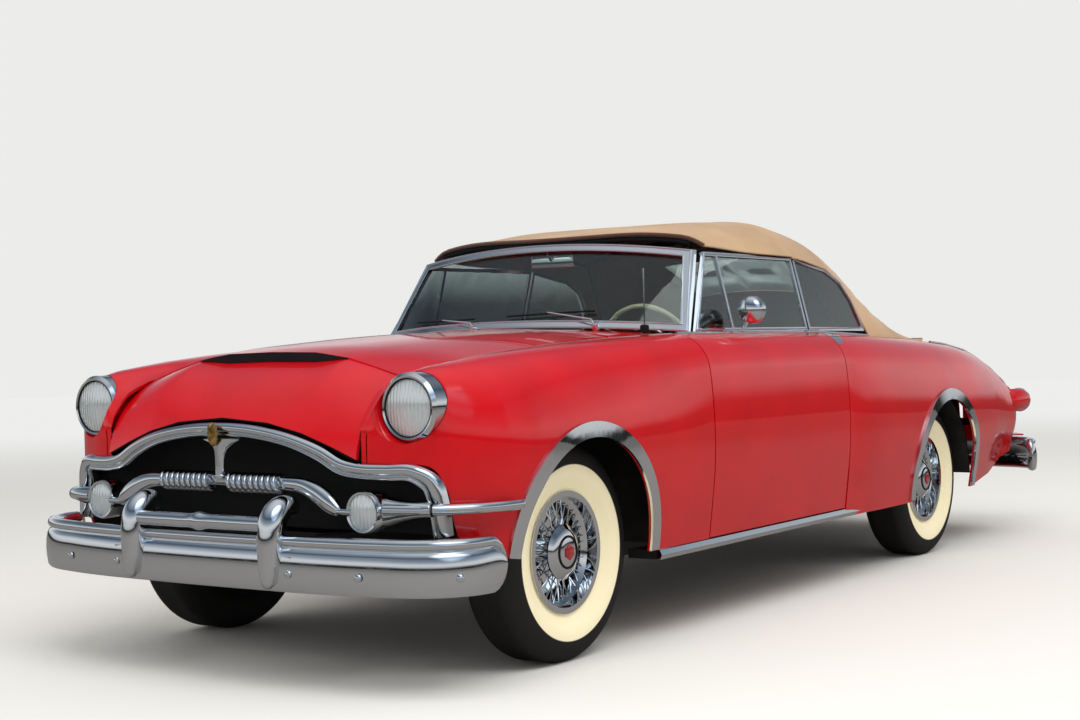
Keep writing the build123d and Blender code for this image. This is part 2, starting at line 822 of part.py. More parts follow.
def make_tyre():
    """A tyre standing at the middle of the axle line, outer side towards +X."""
    half = tyre_half_width
    with BuildPart() as tyre:
        with BuildSketch(Plane.XZ) as section:
            with BuildLine():
                keys = [(71, 192.5, 90), (half, 288, 90), (82, 352, 135), (0, tyre_radius, 180), (-82, 352, 225), (-half, 288, 270), (-71, 192.5, 270)]
                inner = [(60, 192.5, 90), (half - 11, 288, 90), (72, 336, 135), (0, tyre_radius - 18, 180), (-72, 336, 225), (-half + 11, 288, 270), (-60, 192.5, 270)]
                flowing_line(keys)
                flowing_line(inner)
                Line(keys[0][:2], inner[0][:2])
                Line(keys[-1][:2], inner[-1][:2])
            make_face()
        revolve(section.sketch, axis=Axis.X)
    return tyre.part


# Spoke rows: count, hub x and radius, rim x and radius, twist in degrees
spoke_rows = [
    (20, 48, 56, 30, 180, 24),
    (20, 48, 56, 30, 180, -24),
    (20, -12, 48, -16, 166, 18),
]
spoke_radius = 2.6


def make_wheel():
    """A wire wheel with its hub, drum and cap, outer side towards +X."""
    with BuildPart() as wheel:
        with BuildSketch(Plane.XZ) as section:
            with BuildLine():
                w = wheel_half_width
                Polyline(
                    (-w, 184), (-w, rim_radius), (-w + 5, rim_radius), (-w + 6, 192), (-44, 191), (-36, 168),
                    (20, 168), (34, 191), (w - 6, 192), (w - 5, rim_radius), (w, rim_radius + 1), (w, 184),
                    (40, 184), (26, 162), (-42, 162), (-50, 184), close=True,
                )
            make_face()
            with BuildLine():
                bore = spindle_radius + running_gap
                Polyline(
                    (-28, bore), (46, bore), (46, 0), (91, 0), (88, 36), (80, 70), (66, 92), (60, 92),
                    (56, 64), (40, 60), (32, 42), (-6, 42), (-6, 140), (-26, 140), (-26, 132), (-12, 132),
                    (-12, 46), (-28, 46), close=True,
                )
            make_face()
        revolve(section.sketch, axis=Axis.X)
        spokes = []
        for count, hub_x, hub_r, rim_x, rim_r, twist in spoke_rows:
            for n in range(count):
                a = math.radians(360 * n / count)
                b = math.radians(360 * n / count + twist)
                start = Vector(hub_x, (hub_r) * math.cos(a), hub_r * math.sin(a))
                end = Vector(rim_x, rim_r * math.cos(b), rim_r * math.sin(b))
                way = end - start
                with BuildSketch(Plane(origin=start, z_dir=way)) as spoke:
                    RegularPolygon(spoke_radius, 6)
                spokes.append(extrude(spoke.sketch, amount=way.length, mode=Mode.PRIVATE))
        add(spokes)
    return wheel.part


def make_knuckle():
    """A steering knuckle with its kingpin and the spindle for the wheel."""
    with BuildPart() as knuckle:
        rod((kingpin_x, 0, tyre_radius - 84), (kingpin_x, 0, tyre_radius + 84), 20)
        rod((kingpin_x, 0, tyre_radius - 114), (kingpin_x, 0, tyre_radius + 114), kingpin_radius)
        rod((kingpin_x, 0, tyre_radius), (kingpin_x + 26, 0, tyre_radius), 28)
        rod((kingpin_x, 0, tyre_radius), (wheel_x + 40, 0, tyre_radius), spindle_radius)
    return knuckle.part


# Suspension arms: pivot x, pivot half spread, low z, high z
arm_rows = [(400, 140, 256, 272), (400, 110, 456, 472)]


def make_front_suspension():
    """Upper and lower arms and a spring on each side."""
    with BuildPart() as side:
        for pivot_x, spread, low, high in arm_rows:
            with BuildSketch(Plane.XY.offset(low)) as arm:
                with BuildLine():
                    Polyline(
                        (pivot_x, at(-spread)), (kingpin_x, at(-24)), (kingpin_x, at(24)), (pivot_x, at(spread)), close=True
                    )
                make_face()
                with Locations((kingpin_x, at(0))):
                    Circle(24)
                    Circle(kingpin_radius + running_gap, mode=Mode.SUBTRACT)
            extrude(arm.sketch, amount=high - low)
        rod((530, 0, 272), (530, 0, 456), 42)
    return both_sides(side.part)


rail_outline = [
    (-700, 472), (440, 472), (640, 306), (2460, 306), (2580, 424), (2975, 424), (3060, 584), (3520, 584),
    (3700, 520), (4300, 520), (4300, 430), (3680, 430), (3500, 494), (3100, 494), (3015, 336), (2620, 336),
    (2520, 208), (600, 208), (400, 382), (-700, 382),
]


def make_chassis():
    with BuildPart() as chassis:
        for x in ((340, 400), (-400, -340)):
            cross_plate(rail_outline, x)
        block((-400, 400), (-80, 80), (245, 328))
        block((340, 400), (-80, 80), (328, 382))
        block((-400, -340), (-80, 80), (328, 382))
        block((-340, 340), (-560, -480), (390, 460))
        block((-340, 340), (1180, 1280), (240, 300))
        block((-340, 340), (2300, 2400), (240, 300))
        block((-340, 340), (3560, 3620), (450, 530))
        block((-340, 340), (4210, 4290), (440, 510))
    return chassis.part


def make_engine():
    """The engine and gearbox as one plain block."""
    with BuildPart() as engine:
        block((-250, 250), (-340, 440), (328.5, 880))
        chamfer(engine.edges().filter_by(Axis.Y), 60)
        block((-130, 130), (440, 1120), (330, 560))
    return engine.part


def make_radiator():
    with BuildPart() as radiator:
        block((-330, 330), (-479.5, -400), (400, 900))
    return radiator.part


def make_rear_axle():
    with BuildPart() as axle:
        rod((-(wheel_x - 40), wheelbase, tyre_radius), (wheel_x - 40, wheelbase, tyre_radius), 42)
        rod((-(wheel_x + 40), wheelbase, tyre_radius), (wheel_x + 40, wheelbase, tyre_radius), spindle_radius)
        rod((0, wheelbase - 130, tyre_radius), (0, wheelbase + 120, tyre_radius), 130)
    return axle.part


def make_propshaft():
    with BuildPart() as shaft:
        rod((0, 1122, 400), (0, wheelbase - 130 - rest_gap, 372), 34)
    return shaft.part


def make_leaf_springs():
    with BuildPart() as spring:
        with BuildSketch(Plane.YZ.offset(460)) as side_view:
            with BuildLine():
                top = [(at(2520), 400, -24), (at(wheelbase), 320, 0), (at(3740), 420, 26)]
                band(top, 26)
            make_face()
        extrude(side_view.sketch, amount=62)
        block((400, 460), (2520, 2570), (380, 400))
        block((400, 460), (3680, 3740), (398, 480))
    return both_sides(spring.part)


def make_exhaust():
    """Pipe, silencer and tail pipe, open at the end."""
    path = [(-180, 300, 300), (-180, 900, 190), (-180, 1700, 190), (-180, 3000, 190), (-200, 3600, 240), (-300, 4100, 250), (-300, 4400, 250)]
    with BuildPart() as exhaust:
        for start, end in zip(path, path[1:]):
            rod(start, end, 25)
            with Locations((end[0], at(end[1]), end[2])):
                if end is not path[-1]:
                    Sphere(25)
        rod((-180, 1420, 190), (-180, 2200, 190), 62)
        rod((-180, 300, 300), (-180, 300, 328), 12)
        rod((-300, 4250, 250), (-300, 4250, 439.5), 8)
        rod((-300, 4300, 250), (-300, 4400, 250), 22, Mode.SUBTRACT)
    return exhaust.part


def make_fuel_tank():
    with BuildPart() as tank:
        block((-320, 320), (3620.5, 4209.5), (400, 570))
        fillet(tank.edges().filter_by(Axis.X), 40)
    return tank.part


# Body shell inside the panels

floor_line = [
    (600, 1010), (600, 560), (756, floor_z), (2440, floor_z), (2440, 440), (2950, 440), (2950, 602), (4200, 602),
]


def make_body_tub():
    """Floor, firewall, rear bulkhead, rockers and the pillars around the doors."""
    with BuildPart() as tub:
        under = [
            (588, 1010), (588, 556), (744, floor_z - floor_skin), (2452, floor_z - floor_skin), (2452, 428),
            (2962, 428), (2962, 590), (4200, 590),
        ]
        cross_plate(floor_line + under[::-1], (-800, 800))
        block((-800, 800), (2950, 2962), (602, 1010))
        block((-170, 170), (588, 1200), (308, 610))
        block((-120, 120), (1200, 2452), (308, 480))
        block((-158, 158), (560, 1188), (290, 598), Mode.SUBTRACT)
        block((-108, 108), (1100, 2430), (290, 468), Mode.SUBTRACT)
        block((-108, 108), (2425, 2470), (290, 425), Mode.SUBTRACT)
        for side in (-1, 1):
            block(sorted((side * 790, side * 903)), (450, 2330), (290, floor_z))
            block(sorted((side * 788, side * 800)), (2040, 2950), (floor_z, 1012))
            for d, depth in ((door_front - seam_gap / 2 - 80, 80), (door_rear + 22, 30)):
                rows = front_fender_rows if d < 1000 else quarter_rows
                picked = [between(rows, min(q, rows[-1][0])) for q in (d, d + depth)]
                post = side_loft(picked, cabin_edge_x, 100, skin + rest_gap)
                add(post if side > 0 else mirrored(post))
                block(sorted((side * 790, side * 903)), (d, d + depth), (floor_z - 10, floor_z + 24))
        for side in (-1, 1):
            rod((side * 598, wheelbase, tyre_radius), (side * 990, wheelbase, tyre_radius), wheelhouse_radius + 10, Mode.SUBTRACT)
    return tub.part


def make_wheelhouses():
    """Inner arches over the rear wheels."""
    with BuildPart() as house:
        with BuildSketch(Plane.YZ.offset(600)) as ring:
            with Locations((at(wheelbase), tyre_radius)):
                Circle(wheelhouse_radius + 9)
                Circle(wheelhouse_radius, mode=Mode.SUBTRACT)
            with Locations((at(wheelbase), tyre_radius - 500)):
                Rectangle(2000, 1000, mode=Mode.SUBTRACT)
        extrude(ring.sketch, amount=302)
        with BuildSketch(Plane.YZ.offset(600)) as disc:
            with Locations((at(wheelbase), tyre_radius)):
                Circle(wheelhouse_radius + 9)
            with Locations((at(wheelbase), tyre_radius + 80 - 500)):
                Rectangle(2000, 1000, mode=Mode.SUBTRACT)
        extrude(disc.sketch, amount=8)
    return both_sides(house.part)


def make_aprons():
    """Inner panels between the engine bay and the front wheels, and the radiator panel."""
    with BuildPart() as apron:
        with BuildSketch(Plane.YZ.offset(424)) as side_view:
            with BuildLine():
                Polyline([(at(d), z) for d, z in ((-560, 474), (586, 474), (586, 960), (-300, 930), (-400, 900), (-560, 850))], close=True)
            make_face()
        extrude(side_view.sketch, amount=10)
        block((404, 424), (-560, 430), (474, 484))
    return both_sides(apron.part)


def make_cowl():
    """Panel between the hood and the windshield."""
    with BuildPart() as cowl:
        for d, side_z, middle_z in ((hood_rear + seam_gap, 1060, 1116), (door_front - 4, 1066, 1115), (1040, 1074, 1112)):
            with BuildSketch(Plane.XZ.offset(-at(d))):
                with BuildLine():
                    edge_x = cabin_edge_x - seam_gap
                    band([(-edge_x, side_z, 8), (0, middle_z, 0), (edge_x, side_z, -8)], skin)
                make_face()
        loft(ruled=True)
        for side in (-1, 1):
            x = sorted((side * (hood_seam_x + seam_gap / 2 - rest_gap), side * 900))
            with Locations(((x[0] + x[1]) / 2, at(door_front - 3.5 - 500 + rest_gap), 1060)):
                Box(x[1] - x[0], 1000, 300, mode=Mode.SUBTRACT)
    return cowl.part


column_x = 372.0
column_low = Vector(column_x, 560.0, 700.0)
column_high = Vector(column_x, 1330.0, 1000.0)


def make_dashboard():
    with BuildPart() as dash:
        cross_plate(
            [(1010, 1046), (1060, 1050), (1100, 1030), (1105, 900), (1080, 780), (1010, 760), (980, 800), (980, 1030)],
            (-735, 735),
        )
        fillet(dash.edges().filter_by(Axis.X), 8)
        block((-60, 60), (985, 1020), (1000, 1099.8))
        rod((column_x, 560, 700), (column_x, 1330, 1000), 24, Mode.SUBTRACT)
    return dash.part


def make_front_seat():
    """Bench cushion and back."""
    with BuildPart() as seat:
        block((-640, 640), (1480, 1920), (floor_z, 620))
        block((-640, 640), (1900, 2070), (floor_z, 1010))
        fillet(seat.edges().filter_by(Axis.X), 30)
        block((-130, 130), (1400, 2100), (300, 490), Mode.SUBTRACT)
    return seat.part


def make_rear_seat():
    with BuildPart() as seat:
        block((-590, 590), (2460, 2800), (440.5, 650))
        block((-590, 590), (2780, 2945), (440.5, 1020))
        fillet(seat.edges().filter_by(Axis.X), 30)
    return seat.part


def make_steering_column():
    with BuildPart() as column:
        rod((column_x, 612.5, 720.7), (column_x, 1300, 988.3), 22)
    return column.part


def make_steering_wheel():
    low = Vector(column_x, at(column_low.Y), column_low.Z)
    high = Vector(column_x, at(column_high.Y), column_high.Z)
    rim_plane = Plane(origin=high, x_dir=(1, 0, 0), z_dir=high - low)
    with BuildPart() as wheel:
        with Locations(rim_plane):
            Torus(steering_wheel_radius, 10)
            Cylinder(38, 26)
        for angle in (0, 180):
            with Locations(rim_plane * Location((0, 0, 0), (0, 0, angle))):
                with Locations((steering_wheel_radius / 2, 0, 0)):
                    Box(steering_wheel_radius, 26, 9)
    return wheel.part


def make_mirror():
    """Round mirror on a stalk, on the left door."""
    with BuildPart() as mirror_head:
        rod((818, 1290, 1087.8), (842, 1330, 1160), 7)
        rod((842, 1318, 1172), (842, 1344, 1172), 55)
    return mirror_head.part


def make_door_handle():
    with BuildPart() as handle:
        rod((846, 1800, 1082), (846, 1920, 1082), 8)
        rod((846, 1812, 1070), (846, 1812, 1082), 6)
        rod((846, 1908, 1070), (846, 1908, 1082), 6)
    return handle.part


def make_antenna():
    with BuildPart() as antenna:
        rod((690, 760, 1086.8), (690, 760, 1110), 14)
        rod((690, 760, 1110), (690, 760, 1330), 2.5)
    return antenna.part


def place_wheel(piece, d, side):
    """A copy of a wheel or tyre at one corner of the car, its outer side outwards."""
    turned = piece if side > 0 else mirrored(piece)
    return turned.moved(Location((side * wheel_x, at(d), tyre_radius)))


def gather(*pieces):
    """Several pieces that don't touch, as one set."""
    with BuildPart() as gathered:
        for piece in pieces:
            add(piece)
    return gathered.part


def main():
    pieces = {}
    pieces["chassis"] = make_chassis()
    pieces["engine"] = make_engine()
    pieces["radiator"] = make_radiator()
    pieces["rear_axle"] = gather(make_rear_axle(), make_propshaft(), make_leaf_springs())
    pieces["front_suspension"] = make_front_suspension()
    pieces["exhaust"] = make_exhaust()
    pieces["fuel_tank"] = make_fuel_tank()
    pieces["body_tub"] = make_body_tub()
    pieces["inner_panels"] = gather(make_wheelhouses(), make_aprons())
    pieces["cowl"] = make_cowl()
    fender = make_front_fender()
    pieces["fender_front_left"] = fender
    pieces["fender_front_right"] = mirrored(fender)
    quarter = make_quarter()
    pieces["quarter_left"] = quarter
    pieces["quarter_right"] = mirrored(quarter)
    pieces["tail_panel"] = make_tail_panel()
    pieces["hood"] = make_hood()
    pieces["trunk_lid"] = make_trunk_lid()
    front_trim = make_arch_trim(front_fender_rows, 0, 330)
    rear_trim = make_arch_trim(quarter_rows, wheelbase, 300)
    pieces["arch_trims"] = gather(both_sides(front_trim), both_sides(rear_trim))
    pieces["grille_surround"] = make_grille_surround()
    pieces["grille_bar"] = make_grille_bar()
    pieces["grille_back"] = make_grille_back()
    headlamps, headlamp_lenses = make_headlamps()
    parking_lamps, parking_lenses = make_parking_lamps()
    pieces["headlamps"] = headlamps
    pieces["parking_lamps"] = parking_lamps
    pieces["front_lenses"] = gather(headlamp_lenses, parking_lenses)
    pieces["wing_bars"] = make_wing_bars()
    pieces["front_bumper"] = make_front_bumper()
    pieces["bumper_guards"] = gather(*make_bumper_guards())
    pieces["rear_bumper"] = make_rear_bumper()
    pieces["splash_pan"] = make_splash_pan()
    pieces["tail_pods"], pieces["tail_lenses"] = make_tail_lamps()
    screen_frame, screen_glass = make_windshield()
    pieces["soft_top"], rear_window = make_soft_top()
    pieces["top_bows"] = make_top_bows()
    quarter_frame, quarter_glass = window_pieces(quarter_window)
    pieces["window_frames"] = gather(screen_frame, both_sides(quarter_frame))
    pieces["fixed_glass"] = gather(screen_glass, both_sides(quarter_glass), rear_window)
    pieces["dashboard"] = make_dashboard()
    pieces["seats"] = gather(make_front_seat(), make_rear_seat())
    pieces["steering_column"] = make_steering_column()
    pieces["steering_wheel"] = make_steering_wheel()
    pieces["antenna"] = make_antenna()
    door = make_door()
    door_frame, door_glass = window_pieces(door_window, vent_divider_d)
    handle = make_door_handle()
    pieces["door_left"] = door
    pieces["door_left_trim"] = gather(door_frame, handle, make_mirror())
    pieces["door_left_glass"] = door_glass
    pieces["door_right"] = mirrored(door)
    pieces["door_right_trim"] = gather(mirrored(door_frame), mirrored(handle))
    pieces["door_right_glass"] = mirrored(door_glass)
    knuckle = make_knuckle()
    pieces["knuckle_left"] = knuckle
    pieces["knuckle_right"] = mirrored(knuckle)
    tyre, wheel = make_tyre(), make_wheel()
    for place, d in (("front", 0.0), ("rear", wheelbase)):
        for name, side in (("left", 1), ("right", -1)):
            pieces[f"tyre_{place}_{name}"] = place_wheel(tyre, d, side)
            pieces[f"wheel_{place}_{name}"] = place_wheel(wheel, d, side)
    os.makedirs("parts", exist_ok=True)
    for name, piece in pieces.items():
        piece.label = name
        export_step(piece, f"parts/{name}.step")


main()
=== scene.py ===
"""Looks of a two-door convertible car from the 1950s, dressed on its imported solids."""

import json
import logging
import math
from collections.abc import Callable, Iterator, Sequence
from contextlib import contextmanager
from dataclasses import dataclass
from enum import Enum
from typing import Optional

import bpy
from mathutils import Matrix, Vector
from mathutils.bvhtree import BVHTree
from mathutils.kdtree import KDTree

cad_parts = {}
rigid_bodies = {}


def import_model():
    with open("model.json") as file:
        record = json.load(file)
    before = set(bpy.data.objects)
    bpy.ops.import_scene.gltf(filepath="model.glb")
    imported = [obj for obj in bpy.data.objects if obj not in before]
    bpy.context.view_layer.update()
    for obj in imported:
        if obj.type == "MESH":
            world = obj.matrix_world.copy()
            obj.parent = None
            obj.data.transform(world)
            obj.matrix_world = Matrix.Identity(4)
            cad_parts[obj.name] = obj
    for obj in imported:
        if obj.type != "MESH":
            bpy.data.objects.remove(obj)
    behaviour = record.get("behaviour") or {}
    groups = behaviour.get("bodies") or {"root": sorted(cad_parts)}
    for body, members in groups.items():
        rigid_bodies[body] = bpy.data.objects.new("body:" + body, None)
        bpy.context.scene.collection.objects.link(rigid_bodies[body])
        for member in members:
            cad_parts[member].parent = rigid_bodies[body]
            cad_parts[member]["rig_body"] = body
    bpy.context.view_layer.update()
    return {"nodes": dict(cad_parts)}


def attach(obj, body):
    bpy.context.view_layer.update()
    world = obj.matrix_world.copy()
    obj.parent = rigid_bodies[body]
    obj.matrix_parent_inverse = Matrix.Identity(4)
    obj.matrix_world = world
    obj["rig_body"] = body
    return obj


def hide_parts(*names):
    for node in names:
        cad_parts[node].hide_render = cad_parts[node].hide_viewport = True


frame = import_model()

log = logging.getLogger("car")

Point = tuple[float, float, float]
Colour = tuple[float, float, float, float]
Pair = tuple[float, float]
Rows = tuple[tuple[float, ...], ...]
Piece = bpy.types.Object
Node = bpy.types.Node
Tree = bpy.types.NodeTree
Socket = bpy.types.NodeSocket

FRONT_AXLE_Y = -1.845
WHEELBASE = 3.099
TYRE_RADIUS = 0.364
WHEEL_X = 0.752
AXLES = (("front", 0.0), ("rear", WHEELBASE))
ON_CAR = ("car_body", "car_body")
ON_DOORS = ("left_door", "right_door")


class Side(Enum):
    """A side of the car, with the sign of its x."""

    LEFT = 1
    RIGHT = -1

    @property
    def label(self) -> str:
        """The side's word in a piece's name."""
        return self.name.lower()


def behind(distance: float) -> float:
    """The y of a place some distance behind the front axle, in metres.

    Args:
        distance: Metres behind the front axle, negative ahead of it.

    Returns:
        The y coordinate in the car's frame.
    """
    return FRONT_AXLE_Y + distance


def linear(code: str) -> Colour:
    """Turns an sRGB hex code into linear colour.

    Args:
        code: Six hex digits.

    Returns:
        Linear red, green, blue and an alpha of 1.
    """
    parts = [int(code[i : i + 2], 16) / 255 for i in (0, 2, 4)]
    red, green, blue = (p / 12.92 if p <= 0.04045 else ((p + 0.055) / 1.055) ** 2.4 for p in parts)
    return red, green, blue, 1.0


def add_node(
    tree: Tree,
    kind: str,
    settings: Optional[dict[str | int, object]] = None,
    links: Optional[dict[str | int, Socket]] = None,
) -> Node:
    """Adds one node to a material, with its settings and links.

    Args:
        tree: The material's node tree.
        kind: The node's type.
        settings: Values for its properties or, by name or number, for its input sockets.
        links: Output sockets that feed its inputs, by the input's name or number.

    Returns:
        The new node.
    """
    node = tree.nodes.new(kind)
    for key, value in (settings or {}).items():
        if isinstance(key, int) or key in node.inputs:
            node.inputs[key].default_value = value
        else:
            setattr(node, key, value)
    for key, socket in (links or {}).items():
        tree.links.new(socket, node.inputs[key])
    return node


def colour_ramp(
    tree: Tree, factor: Socket, stops: Sequence[tuple[float, str]]
) -> Socket:
    """Colours by a factor.

    Args:
        tree: The node tree.
        factor: The value to colour by.
        stops: Positions and sRGB hex codes.

    Returns:
        The colour.
    """
    node = add_node(tree, "ShaderNodeValToRGB", links={"Fac": factor})
    elements = node.color_ramp.elements
    while len(elements) < len(stops):
        elements.new(0.5)
    for element, (position, code) in zip(elements, stops):
        element.position = position
        element.color = linear(code)
    return node.outputs["Color"]


class Finish:
    """A surface finish, made as a material the first time it is asked for."""

    name = "finish"
    slot = ""

    def __init__(self) -> None:
        """Starts with no material made yet."""
        self._material: Optional[bpy.types.Material] = None

    def material(self) -> bpy.types.Material:
        """The finish as a Blender material."""
        if self._material is None:
            made = bpy.data.materials.new(self.name)
            made.use_nodes = True
            made.node_tree.nodes.clear()
            shader = add_node(made.node_tree, "ShaderNodeBsdfPrincipled")
            end = add_node(made.node_tree, "ShaderNodeOutputMaterial")
            made.node_tree.links.new(shader.outputs["BSDF"], end.inputs["Surface"])
            self.dress(made.node_tree, shader)
            self._material = made
        return self._material

    def dress(self, tree: Tree, shader: Node) -> None:
        """Sets the shader's values and adds the pattern's nodes.

        Args:
            tree: The material's node tree.
            shader: Its Principled shader.
        """
        raise NotImplementedError

    @staticmethod
    def coords(tree: Tree) -> Socket:
        """The piece's own place in the car's frame."""
        return add_node(tree, "ShaderNodeTexCoord").outputs["Object"]

    @staticmethod
    def settle(shader: Node, values: dict[str, object]) -> None:
        """Sets values on the shader's own sockets.

        Args:
            shader: The Principled shader.
            values: Values by socket name.
        """
        for key, value in values.items():
            shader.inputs[key].default_value = value

    def noise(self, tree: Tree, grain_mm: float, detail: float = 2.0) -> Socket:
        """A noise pattern whose grains have a real size.

        Args:
            tree: The material's node tree.
            grain_mm: The size of one grain.
            detail: Octaves of finer noise.

        Returns:
            The noise's factor.
        """
        settings = {"Scale": 1000.0 / grain_mm, "Detail": detail}
        return add_node(tree, "ShaderNodeTexNoise", settings, {"Vector": self.coords(tree)}).outputs["Fac"]

    def bump(
        self, tree: Tree, shader: Node, height: Socket, depth_mm: float
    ) -> None:
        """Raises the surface by a pattern.

        Args:
            tree: The material's node tree.
            shader: Its Principled shader.
            height: The pattern, from 0 to 1.
            depth_mm: How high a 1 stands above a 0.
        """
        made = add_node(tree, "ShaderNodeBump", {"Strength": 1.0, "Distance": depth_mm / 1000}, {"Height": height})
        tree.links.new(made.outputs["Normal"], shader.inputs["Normal"])

    def patches(
        self,
        tree: Tree,
        shader: Node,
        grain_mm: float,
        detail: float,
        stops: Sequence[tuple[float, str]],
    ) -> None:
        """Colours the surface in soft patches of a real size.

        Args:
            tree: The material's node tree.
            shader: Its Principled shader.
            grain_mm: The size of one patch.
            detail: Octaves of finer patches.
            stops: Positions in the noise and sRGB hex codes.
        """
        colour = colour_ramp(tree, self.noise(tree, grain_mm, detail), stops)
        tree.links.new(colour, shader.inputs["Base Color"])

    def haze(
        self, tree: Tree, shader: Node, grain: tuple[float, float], values: Sequence[float]
    ) -> None:
        """Lets the roughness drift over the surface.

        Args:
            tree: The material's node tree.
            shader: Its Principled shader.
            grain: The size of one patch in millimetres, and its octaves.
            values: Noise from and to, then roughness from and to.
        """
        names = ("From Min", "From Max", "To Min", "To Max")
        drift = add_node(tree, "ShaderNodeMapRange", dict(zip(names, values)), {"Value": self.noise(tree, *grain)})
        tree.links.new(drift.outputs["Result"], shader.inputs["Roughness"])


class LacquerPaint(Finish):
    """Hand-rubbed red lacquer over steel: deep colour under a wet clear coat with a trace of ripple."""

    name = "red_lacquer"
    slot = "body_paint"

    def dress(self, tree: Tree, shader: Node) -> None:
        """Red base with faint cloudiness below a clear coat."""
        self.patches(tree, shader, 240.0, 3.0, [(0.35, "A90008"), (0.65, "B4000B")])
        values = {"Roughness": 0.3, "Coat Weight": 0.85, "Coat Roughness": 0.02, "Specular IOR Level": 0.15}
        self.settle(shader, values)
        self.bump(tree, shader, self.noise(tree, 9.0, 1.0), 0.012)


class PolishedChrome(Finish):
    """Chrome plate polished to a mirror, with fine wiping marks."""

    name = "chrome_plate"
    slot = "bright_trim"

    def dress(self, tree: Tree, shader: Node) -> None:
        """Mirror metal whose sharpness drifts a little."""
        self.settle(shader, {"Base Color": linear("DDE0E3"), "Metallic": 1.0})
        self.haze(tree, shader, (30.0, 4.0), (0.3, 0.7, 0.04, 0.1))


class ChromedWire(PolishedChrome):
    """Chrome plate on wire spokes and pressed rims, slightly duller than flat trim."""

    name = "chromed_wire"
    slot = "wire_wheel"


class CanvasTop(Finish):
    """Tan cotton canvas with a plain weave, stretched over bows: matt, with creases and sun-faded patches."""

    name = "tan_canvas"
    slot = "top_fabric"
    shades = ("9A7853", "B5926A")
    thread_mm = 3.0

    def dress(self, tree: Tree, shader: Node) -> None:
        """Weave of crossed threads over broad fading, drawn coarser than the real one so that it shows, with painted
        shade where the threads lie low.
        """
        coords = self.coords(tree)
        cloud = colour_ramp(tree, self.noise(tree, 320.0, 4.0), [(0.3, self.shades[0]), (0.7, self.shades[1])])
        threads = {}
        for number, direction in enumerate(("X", "Y")):
            scale = 1000.0 / self.thread_mm / math.tau * 2
            settings = {"bands_direction": direction, "Scale": scale, "Distortion": 0.4}
            threads[number] = add_node(tree, "ShaderNodeTexWave", settings, {"Vector": coords}).outputs["Fac"]
        weave = add_node(tree, "ShaderNodeMath", {"operation": "MULTIPLY"}, threads)
        # The colour darkens where the weave lies low: painted shade between the threads.
        weave_shade = colour_ramp(tree, weave.outputs[0], [(0.0, "9A9A9A"), (1.0, "FFFFFF")])
        settings = {"data_type": "RGBA", "blend_type": "MULTIPLY", 0: 0.25}
        shade = add_node(tree, "ShaderNodeMix", settings, {6: cloud, 7: weave_shade})
        tree.links.new(shade.outputs[2], shader.inputs["Base Color"])
        values = {"Roughness": 0.92, "Specular IOR Level": 0.2, "Sheen Weight": 0.25, "Sheen Roughness": 0.5}
        self.settle(shader, values)
        self.bump(tree, shader, weave.outputs[0], 0.5)


class CanvasBinding(CanvasTop):
    """Brown webbing sewn along the canvas edges."""

    name = "canvas_binding"
    shades = ("4A2B20", "5C382A")


class ClearGlass(Finish):
    """Laminated plate glass with a faint green tint."""

    name = "plate_glass"
    slot = "window_glass"

    def dress(self, tree: Tree, shader: Node) -> None:
        """Clear glass with wiped-on haze."""
        self.settle(shader, {"Base Color": linear("DCE8E4"), "Transmission Weight": 1.0, "IOR": 1.45})
        self.haze(tree, shader, (160.0, 3.0), (0.4, 0.8, 0.0, 0.03))


class FlutedGlass(Finish):
    """Pressed lamp glass with upright flutes."""

    name = "fluted_lamp_glass"
    slot = "lamp_glass"
    flute_mm = 7.0

    def dress(self, tree: Tree, shader: Node) -> None:
        """Flutes over a silvered reflector."""
        values = {"Roughness": 0.06, "Transmission Weight": 0.55, "IOR": 1.5, "Metallic": 0.25}
        self.settle(shader, {"Base Color": linear("E6ECEE"), **values})
        scale = 1000.0 / self.flute_mm / math.tau
        settings = {"bands_direction": "X", "Scale": scale, "Distortion": 0.3, "Detail": 1.0}
        wave = add_node(tree, "ShaderNodeTexWave", settings, {"Vector": self.coords(tree)})
        self.bump(tree, shader, wave.outputs["Fac"], 1.6)


class RedLens(Finish):
    """Moulded red acrylic lens, glossy, a little uneven in its red."""

    name = "red_acrylic"
    slot = "red_lens"

    def dress(self, tree: Tree, shader: Node) -> None:
        """Deep red with a slight cloud."""
        self.patches(tree, shader, 60.0, 2.0, [(0.3, "7E0410"), (0.7, "A30616")])
        values = {"Roughness": 0.12, "Coat Weight": 1.0, "Coat Roughness": 0.02, "Transmission Weight": 0.15}
        self.settle(shader, values)


